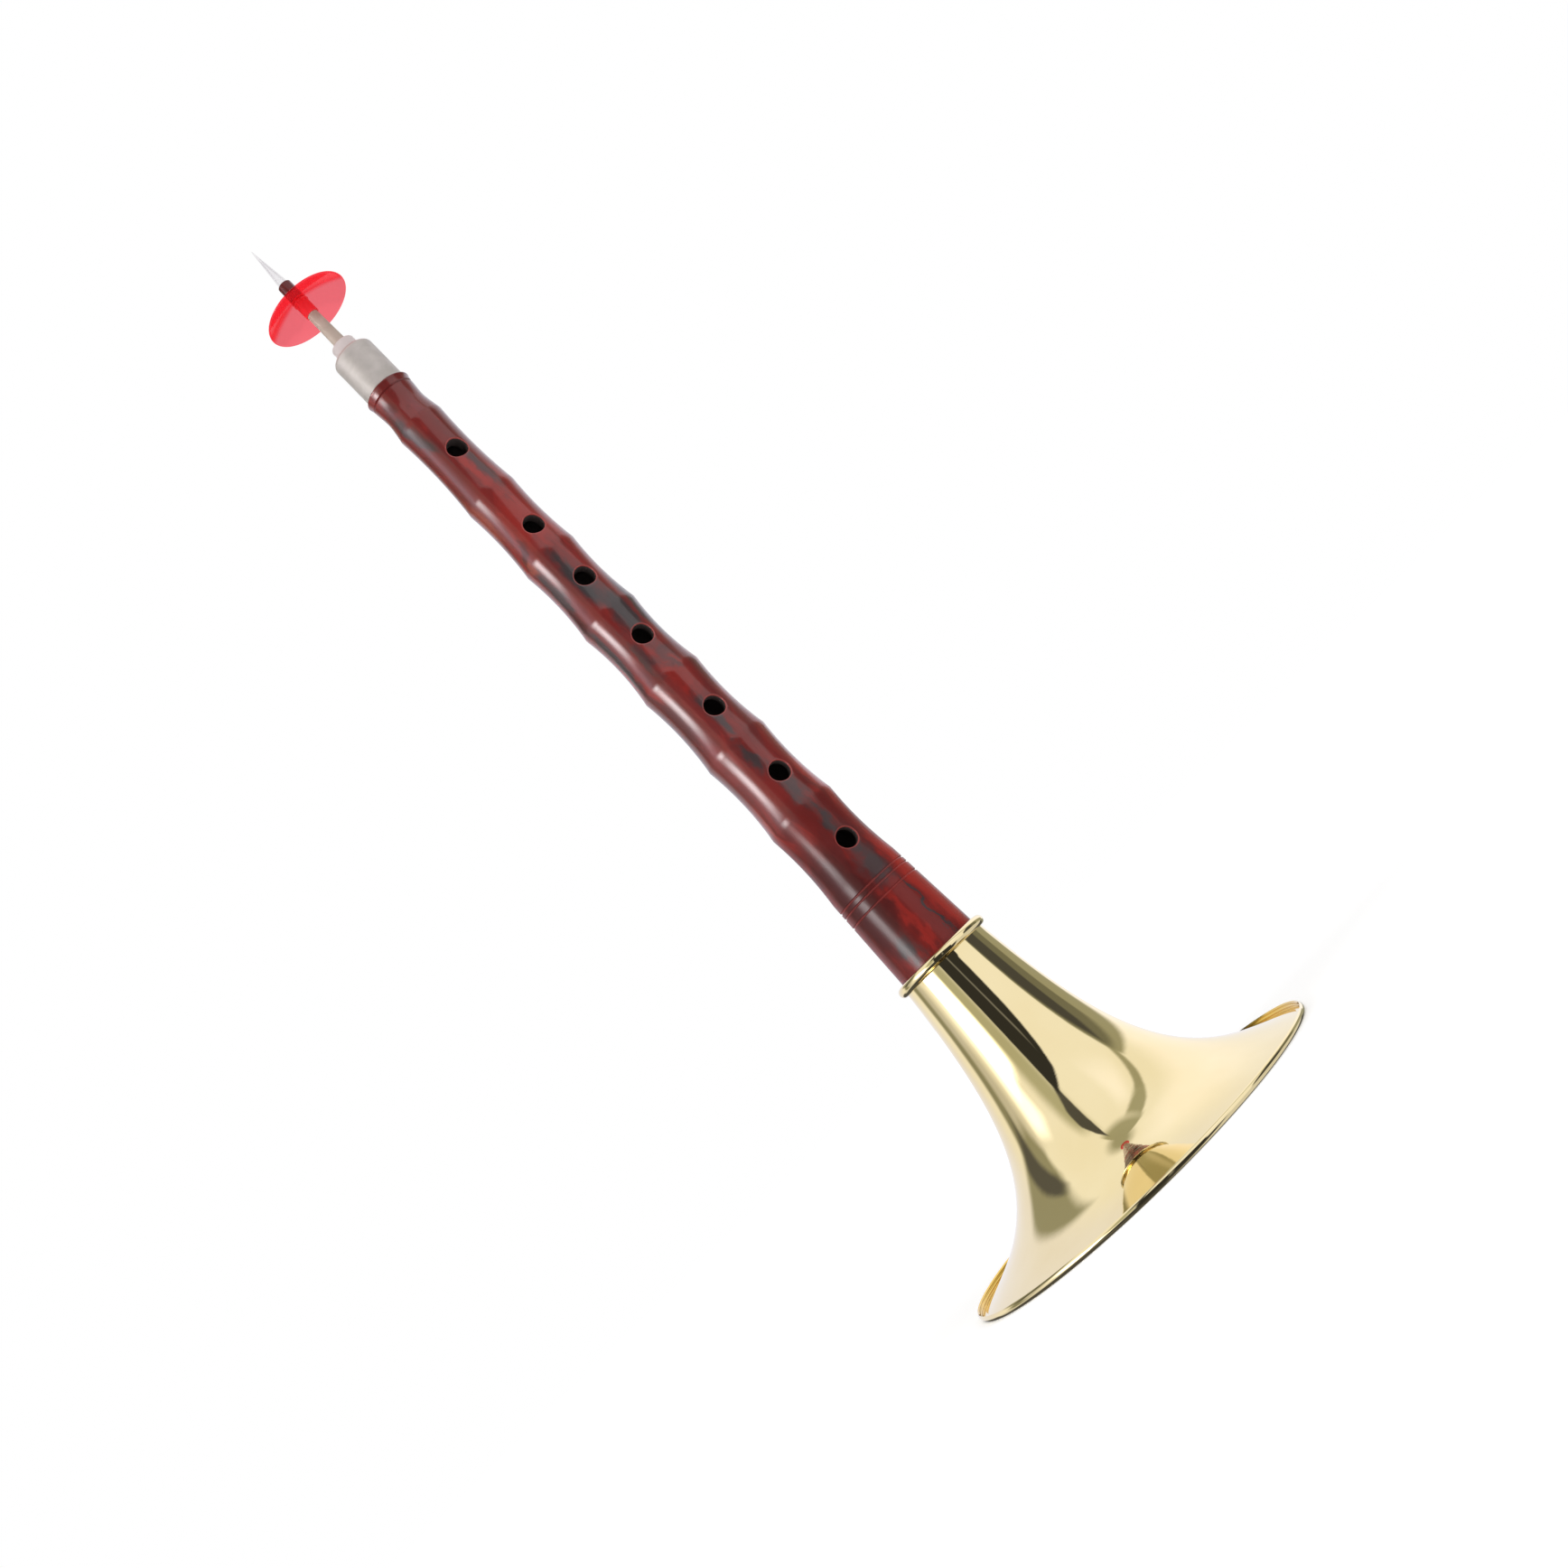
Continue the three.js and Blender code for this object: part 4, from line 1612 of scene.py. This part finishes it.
@dataclass
class Reed:
    """The collar that slips on the staple, and the blade flattened to a slit."""

    foot: float = 388.05
    collar_radius: float = 2.5
    collar_length: float = 7.1
    collar_grip: float = 4.6
    collar_round: float = 0.3
    blade_reach: float = 14.3
    blade_wall: float = 0.4
    tip_half_width: float = 4.6
    tip_half_thickness: float = 0.32
    slit_half_thickness: float = 0.12
    turn_degrees: float = 64.0
    fit_gap: float = 0.3
    blade_steps: int = 24

    def turn_collar(self) -> bpy.types.Object:
        """Turns the collar.

        Returns:
            The collar.
        """
        edge = self.collar_radius - self.collar_round
        bore = STAPLE.radius(self.foot) + 0.1
        profile = [
            *arc((edge, self.collar_round), self.collar_round, -90, 0, 6),
            *arc((edge, self.collar_length - self.collar_round), self.collar_round, 0, 90, 6),
            (bore, self.collar_length),
            (bore, 0.0),
        ]
        raised = [(radius, height + self.foot) for radius, height in profile]
        return Workbench.turn("reed_collar_turned", raised, 96, 40)

    def draw_blade(self) -> bpy.types.Object:
        """Pulls a ring up into the blade, flattening it on the way.

        Returns:
            The blade, a tube that ends in a slit.
        """
        root = STAPLE.radius(self.foot)
        blade_root = self.collar_length - self.collar_grip - self.fit_gap
        length = blade_root + self.blade_reach
        base = self.foot + self.collar_length - blade_root
        steps = self.blade_steps
        heights = [lerp(blade_root, length, i / steps) for i in range(steps + 1)]

        def ring(height: float, inner: bool) -> tuple[float, float, float]:
            """Sizes one ring of the blade.

            Args:
                height: Height above the blade's foot.
                inner: Whether the ring belongs to the inside.

            Returns:
                Half its width, half its thickness and its height above the rim's plane.
            """
            share = max(0.0, (height - blade_root) / (length - blade_root))
            radius = root - self.blade_wall if inner else root
            width = self.tip_half_width - (self.blade_wall if inner else 0)
            thickness = self.slit_half_thickness if inner else self.tip_half_thickness
            return lerp(radius, width, share), lerp(radius, thickness, share), base + height

        rings = [ring(0, False), *(ring(h, False) for h in heights)]
        rings += [ring(h, True) for h in reversed(heights)] + [ring(0, True)]
        Workbench.clear_selection()
        bpy.ops.mesh.primitive_circle_add(
            vertices=96, radius=rings[0][0] * MM, location=(0, 0, 0), fill_type="NOTHING"
        )
        piece = bpy.context.object
        piece.name = "reed_blade_drawn"
        bpy.ops.object.mode_set(mode="EDIT")
        bpy.ops.mesh.select_mode(type="VERT")
        bpy.ops.mesh.select_all(action="SELECT")
        bpy.ops.transform.translate(value=(0, 0, rings[0][2] * MM))
        for here, there in zip(rings, rings[1:]):
            rise = (0, 0, (there[2] - here[2]) * MM)
            bpy.ops.mesh.extrude_edges_move(TRANSFORM_OT_translate={"value": rise})
            bpy.ops.transform.resize(
                value=(there[0] / here[0], there[1] / here[1], 1),
                center_override=(0, 0, there[2] * MM),
            )
        mesh = bmesh.from_edit_mesh(piece.data)
        for edge in mesh.edges:
            edge.select_set(len(edge.link_faces) == 1)
        bmesh.update_edit_mesh(piece.data)
        bpy.ops.mesh.bridge_edge_loops()
        bpy.ops.mesh.select_all(action="SELECT")
        bpy.ops.mesh.normals_make_consistent(inside=False)
        bpy.ops.object.mode_set(mode="OBJECT")
        piece.rotation_euler.z = math.radians(self.turn_degrees)
        bpy.ops.object.transform_apply(location=True, rotation=True, scale=True)
        Workbench.smooth(piece, 40)
        return piece

    def build(self) -> None:
        """Builds and dresses the collar and the blade."""
        maroon = MouldedPlastic(
            "collar_maroon", (0.11, 0.011, 0.011), (0.085, 0.008, 0.008), (0.4, 0.5), coat=0.7
        ).material()
        milky = TintedPlastic(
            "milky_reed",
            (0.96, 0.955, 0.96),
            (0.88, 0.87, 0.88),
            (0.90, 0.885, 0.89),
            cover=(0.01, 0.04),
            gloss=0.3,
            shine=0.02,
            slant=(0.3, 0.95),
        ).material()
        Workbench.dress(
            self.turn_collar(), maroon, Body.REED, Slot.COLLAR_PLASTIC, "reed_collar"
        )
        Workbench.dress(self.draw_blade(), milky, Body.REED, Slot.REED_PLASTIC, "reed_blade")


@dataclass(frozen=True)
class Panel:
    """A part of the room that the polished pieces mirror.

    Each corner is a pair of degrees: round the instrument from the camera's side, and above
    the horizon. The corners go counterclockwise, and none of them points inwards.
    """

    name: str
    corners: tuple[Point, ...]
    level: float
    soft: float = 4.0
    cast: Cast = Cast.NEUTRAL

    @property
    def light(self) -> Colour:
        """The panel's light."""
        red, green, blue = self.cast.value
        return red * self.level, green * self.level, blue * self.level


@dataclass
class Studio:
    """Camera, floor, mirrored room, lamps and world."""

    focal_length: float = 40.44
    sensor_width: float = 36.0
    target_height: float = 156.95
    azimuth: float = -26.0
    elevation: float = -9.0
    roll_cos: float = 0.71418
    roll_sin: float = 0.69996
    shift_right: float = 1.89
    shift_up: float = 1.86
    distance: float = 550.0
    room_radius: float = 4.0
    room_level: float = 1.0
    ambient: float = 0.55
    floor_radius: float = 30.0
    paper_scale: float = 220.0
    floor_reach: tuple[float, float] = (0.15, 0.8)
    floor_glow: tuple[float, float] = (0.30, 0.8)
    lamp_target: float = 0.2

    def add_camera(self) -> None:
        """Adds the camera at the portrait's viewing angle."""
        a, e = math.radians(self.azimuth), math.radians(self.elevation)
        back = Vector((math.sin(a) * math.cos(e), -math.cos(a) * math.cos(e), math.sin(e)))
        right = Vector((math.cos(a), math.sin(a), 0))
        up = back.cross(right)
        rolled_right = right * self.roll_cos - up * self.roll_sin
        rolled_up = right * self.roll_sin + up * self.roll_cos
        place = (
            Vector((0, 0, self.target_height))
            + rolled_right * self.shift_right
            + rolled_up * self.shift_up
            + back * self.distance
        )
        turn = Matrix((rolled_right, rolled_up, back)).transposed()
        Workbench.clear_selection()
        bpy.ops.object.camera_add(location=place * MM, rotation=turn.to_euler())
        camera = bpy.context.object
        camera.name = "portrait_camera"
        camera.data.lens = self.focal_length
        camera.data.sensor_width = self.sensor_width
        camera.data.sensor_fit = "HORIZONTAL"
        camera.data.clip_start = 0.01
        camera.data.clip_end = 100
        bpy.context.scene.camera = camera

    def facing(self, azimuth: float, elevation: float) -> Vector:
        """Returns the direction that lies at two angles in degrees.

        Args:
            azimuth: Angle from the camera's side.
            elevation: Angle above the horizon.
        """
        a, e = math.radians(azimuth + self.azimuth), math.radians(elevation)
        return Vector((math.sin(a) * math.cos(e), -math.cos(a) * math.cos(e), math.sin(e)))

    def add_floor(self) -> None:
        """Adds the pale floor, which keeps the instrument's shadow."""
        Workbench.clear_selection()
        bpy.ops.mesh.primitive_circle_add(
            vertices=96, radius=self.floor_radius, fill_type="NGON", location=(0, 0, 0)
        )
        floor = bpy.context.object
        floor.name = "floor"
        floor.visible_glossy = False
        material, bench = new_material("pale_floor")
        path = bench.add("ShaderNodeLightPath").outputs
        where = bench.add("ShaderNodeTexCoord").outputs["Object"]
        fill = bench.span(bench.length(where), *self.floor_reach, *self.floor_glow)
        seen = bench.math("MAXIMUM", path["Is Camera Ray"], path["Is Transmission Ray"])
        paper = bench.noise(where, self.paper_scale, 3)
        diffuse = bench.add(
            "ShaderNodeBsdfDiffuse",
            {"Color": bench.blend(paper, (0.80, 0.80, 0.80), (0.82, 0.82, 0.82))},
        )
        glow = bench.add(
            "ShaderNodeEmission",
            {"Color": (1, 1, 1, 1), "Strength": bench.math("MULTIPLY", seen, fill)},
        )
        both = bench.add("ShaderNodeAddShader", {0: diffuse.outputs[0], 1: glow.outputs[0]})
        bench.finish(both.outputs[0])
        floor.data.materials.append(material)
        floor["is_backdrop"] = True

    def panels(self) -> list[Panel]:
        """Gathers the panels of the mirrored room.

        Returns:
            All of them, the nearer ones later.
        """
        return [
            *self.far_panels(),
            *self.left_panels(),
            *self.right_panels(),
            *self.front_panels(),
        ]

    def far_panels(self) -> list[Panel]:
        """Describes the bright wall behind the instrument, the dark ground and the ceiling.

        Returns:
            The panels, the nearer ones later.
        """
        return [
            Panel("right_glow", ((116, -5), (160, -5), (160, 70), (116, 70)), 1.16, 16, Cast.COOL),
            Panel("back_glow", ((168, -40), (228, -40), (228, 50), (168, 50)), 0.92, 12, Cast.COOL),
            Panel("side_glow", ((36, 38), (68, 38), (60, 62), (42, 62)), 1.14, 10, Cast.COOL),
            Panel("left_ground", ((-150, -100), (-46, -100), (-46, -12), (-150, -12)), 0.7, 8),
            Panel("left_deep", ((-150, -100), (-46, -100), (-46, -24), (-150, -24)), 0.08, 4),
            Panel("right_ground", ((46, -100), (140, -100), (140, -13), (46, -13)), 0.75, 6),
            Panel("ground", ((-46, -100), (46, -100), (46, -9), (-46, -9)), 0.06, 5),
            Panel("back_ground", ((140, -100), (228, -100), (228, -12), (140, -12)), 0.1, 3),
            Panel("back_wall", ((148, -16), (172, -16), (172, -6), (148, -6)), 0.3, 2, Cast.OLIVE),
            Panel("arch_foot", ((86, 27), (91, 27), (86, 58), (73, 58)), 0.40, 2.2, Cast.OLIVE),
            Panel("arch_side", ((75, 55), (87, 55), (90, 75), (50, 73)), 0.42, 3.5, Cast.OLIVE),
            Panel("arch_top", ((-30, 76), (95, 74), (95, 96), (-30, 96)), 0.42, 4, Cast.OLIVE),
            Panel("ceiling", ((-200, 83), (200, 83), (200, 99), (-200, 99)), 0.40, 4, Cast.OLIVE),
        ]

    def left_panels(self) -> list[Panel]:
        """Describes the olive doorway and the softbox on the left.

        Returns:
            The panels, the nearer ones later.
        """
        return [
            Panel("left_fade", ((-106, -8), (-88, -8), (-86, 36), (-108, 36)), 0.62, 8),
            Panel(
                "left_wall",
                ((-150, 29), (-128, 22), (-94, 24), (-89, 38), (-100, 52), (-118, 57), (-153, 56)),
                0.34,
                4,
                Cast.OLIVE,
            ),
            Panel(
                "left_post", ((-112, -12), (-97, -12), (-106, 32), (-121, 32)), 0.3, 5, Cast.OLIVE
            ),
            Panel("left_door", ((-125, 24), (-106, 18), (-104, 49), (-112, 56), (-124, 54)), 0.11),
            Panel(
                "softbox_glow",
                ((-77, 12), (-60, 14), (-58, 34), (-70, 40), (-81, 34)),
                1.9,
                6,
                Cast.COOL,
            ),
            Panel("softbox", ((-68, 3), (-33, 1), (-33, 17), (-68, 19)), 9, 7),
            Panel("softbox_core", ((-60, 3), (-45, 2), (-45, 16), (-60, 17)), 17, 6.5),
        ]

    def right_panels(self) -> list[Panel]:
        """Describes the slanted dark wall on the right, darkest on its near side.

        Returns:
            The panels, the nearer ones later.
        """
        return [
            Panel(
                "right_wall",
                ((67, -12), (150, -12), (150, 2), (93, 31.5), (88, 30), (69, 11)),
                0.38,
                1.6,
                Cast.OLIVE,
            ),
            Panel(
                "right_shade",
                ((68, -12), (118, -12), (116, 12), (97, 25), (89, 28), (70, 10.5)),
                0.19,
                2.4,
                Cast.OLIVE,
            ),
            Panel("right_dark", ((69, -12), (98, -12), (97, 15), (89, 24), (71, 10)), 0.075, 2.2),
        ]

    def front_panels(self) -> list[Panel]:
        """Describes the dark stand round the camera, with its slit and its leaning post.

        Returns:
            The panels, the nearer ones later.
        """
        return [
            Panel("front_fade", ((-44, 0), (-16, 0), (-13, 66), (-38, 60)), 0.5, 9, Cast.OLIVE),
            Panel(
                "front_post",
                ((-17, 35), (-12.5, 35), (-12.5, 66), (-15, 80), (-24, 72), (-30, 58), (-28, 46)),
                0.09,
                1.6,
            ),
            Panel(
                "front_stand",
                ((-16.5, -40), (31, -40), (31, 10), (12, 25.5), (5, 31), (-9, 36.5), (-16.5, 38.5)),
                0.035,
                1.2,
            ),
            Panel("front_slit", ((4.5, -20), (8, -20), (8.5, 20), (6, 23)), 0.22, 1.4),
        ]

    def add_room(self) -> None:
        """Adds the room that only polished surfaces see."""
        Workbench.clear_selection()
        centre = (0, 0, self.target_height * MM)
        bpy.ops.mesh.primitive_uv_sphere_add(
            segments=96, ring_count=48, radius=self.room_radius, location=centre
        )
        room = bpy.context.object
        room.name = "mirrored_room"
        room.visible_camera = False
        room.visible_diffuse = False
        room.visible_transmission = False
        room.visible_volume_scatter = False
        room.visible_shadow = False
        material, bench = new_material("room_light")
        parts = bench.split(bench.place(turn=-math.radians(self.azimuth)))
        around = bench.around(parts)
        height = bench.math("DIVIDE", parts[2], self.room_radius)
        rise = bench.math("MULTIPLY", bench.math("ARCSINE", height), math.degrees(1))
        light: object = (self.room_level,) * 3
        for panel in self.panels():
            light = bench.blend(self.panel_mask(bench, panel, around, rise), light, panel.light)
        glow = bench.add("ShaderNodeEmission", {"Color": light, "Strength": 1.0})
        bench.finish(glow.outputs[0])
        room.data.materials.append(material)
        room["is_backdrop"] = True

    def panel_mask(self, bench: NodeBench, panel: Panel, around: Socket, rise: Socket) -> Socket:
        """Builds the soft-edged mask of one panel.

        Args:
            bench: The node bench of the room.
            panel: The panel.
            around: Angle round the instrument.
            rise: Angle above the horizon.

        Returns:
            The mask, 1 inside the panel.
        """
        corners = panel.corners
        middle = sum(corner[0] for corner in corners) / len(corners)
        near = bench.math("WRAP", around, middle + 180, middle - 180)
        inside: object = 90.0
        for here, there in zip(corners, (*corners[1:], corners[0])):
            run, climb = there[0] - here[0], there[1] - here[1]
            length = math.hypot(run, climb)
            base = (climb * here[0] - run * here[1]) / length
            edge = bench.math("MULTIPLY_ADD", rise, run / length, base)
            edge = bench.math("MULTIPLY_ADD", near, -climb / length, edge)
            inside = bench.math("SMOOTH_MIN", inside, edge, panel.soft)
        return bench.span(inside, -panel.soft, panel.soft)

    def add_lamp(
        self,
        name: str,
        azimuth: float,
        elevation: float,
        distance: float,
        size: tuple[float, float],
        power: float,
    ) -> None:
        """Adds a rectangular soft lamp that faces the instrument.

        Args:
            name: Its name.
            azimuth: Angle from the camera's side in degrees.
            elevation: Angle above the horizon in degrees.
            distance: Distance from the instrument's middle in metres.
            size: Width and height in metres.
            power: Power in watts.
        """
        towards = self.facing(azimuth, elevation)
        place = Vector((0, 0, self.lamp_target)) + towards * distance
        Workbench.clear_selection()
        bpy.ops.object.light_add(
            type="AREA", location=place, rotation=towards.to_track_quat("Z", "Y").to_euler()
        )
        lamp = bpy.context.object
        lamp.name = name
        lamp.data.shape = "RECTANGLE"
        lamp.data.size, lamp.data.size_y = size
        lamp.data.energy = power
        lamp.visible_camera = False
        lamp.visible_transmission = False
        lamp.visible_glossy = False

    def add_lamps(self) -> None:
        """Adds the key lamp and two fills. The room's own softbox gives their reflections."""
        self.add_lamp("key_softbox", -60, 5, 1.15, (0.44, 0.5), 6.4)
        self.add_lamp("right_fill", 62, 18, 1.4, (1.0, 1.0), 7.5)
        self.add_lamp("top_fill", 0, 78, 1.5, (1.2, 1.2), 6.0)

    def light_world(self) -> None:
        """Shows a white world to the camera and lights the instrument softly from all round."""
        world = bpy.data.worlds.new("studio_world")
        world.use_nodes = True
        bpy.context.scene.world = world
        bench = NodeBench(world.node_tree)
        path = bench.add("ShaderNodeLightPath").outputs
        seen = bench.math("MAXIMUM", path["Is Camera Ray"], path["Is Glossy Ray"])
        seen = bench.math("MAXIMUM", seen, path["Is Transmission Ray"])
        soft = bench.add("ShaderNodeBackground", {0: (1, 1, 1, 1), 1: self.ambient})
        white = bench.add("ShaderNodeBackground", {0: (1, 1, 1, 1), 1: 1.0})
        both = bench.mix_shaders(seen, soft.outputs[0], white.outputs[0])
        bench.finish(both, "ShaderNodeOutputWorld")

    def build(self) -> None:
        """Builds the whole studio."""
        self.add_camera()
        self.add_floor()
        self.add_room()
        self.add_lamps()
        self.light_world()
        bpy.context.scene.view_settings.view_transform = "Standard"


def write_sizes(solids_box: tuple[Vector, Vector]) -> None:
    """Writes the solids' box and the dressed part's box.

    Args:
        solids_box: Lowest and highest corner of the solids.
    """
    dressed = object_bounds()
    for name, (low, high) in (("solids", solids_box), ("dressed", dressed)):
        size = [round((b - a) / MM, 2) for a, b in zip(low, high)]
        LOG.info("%s measure %s mm", name, size)


def main() -> None:
    """Builds the instrument and its studio."""
    logging.basicConfig(level=logging.INFO, format="%(name)s: %(message)s")
    solids_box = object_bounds()
    Studio().build()
    assemblies: list[tuple[str, Callable[[], None]]] = [
        ("bell", Bell().build),
        ("stem", STEM.build),
        ("tuning slide", TuningSlide().build),
        ("staple", STAPLE.build),
        ("lip disc", LipDisc().build),
        ("reed", Reed().build),
    ]
    for name, build in assemblies:
        LOG.info("building the %s", name)
        build()
    write_sizes(solids_box)


if __name__ == "__main__":
    main()
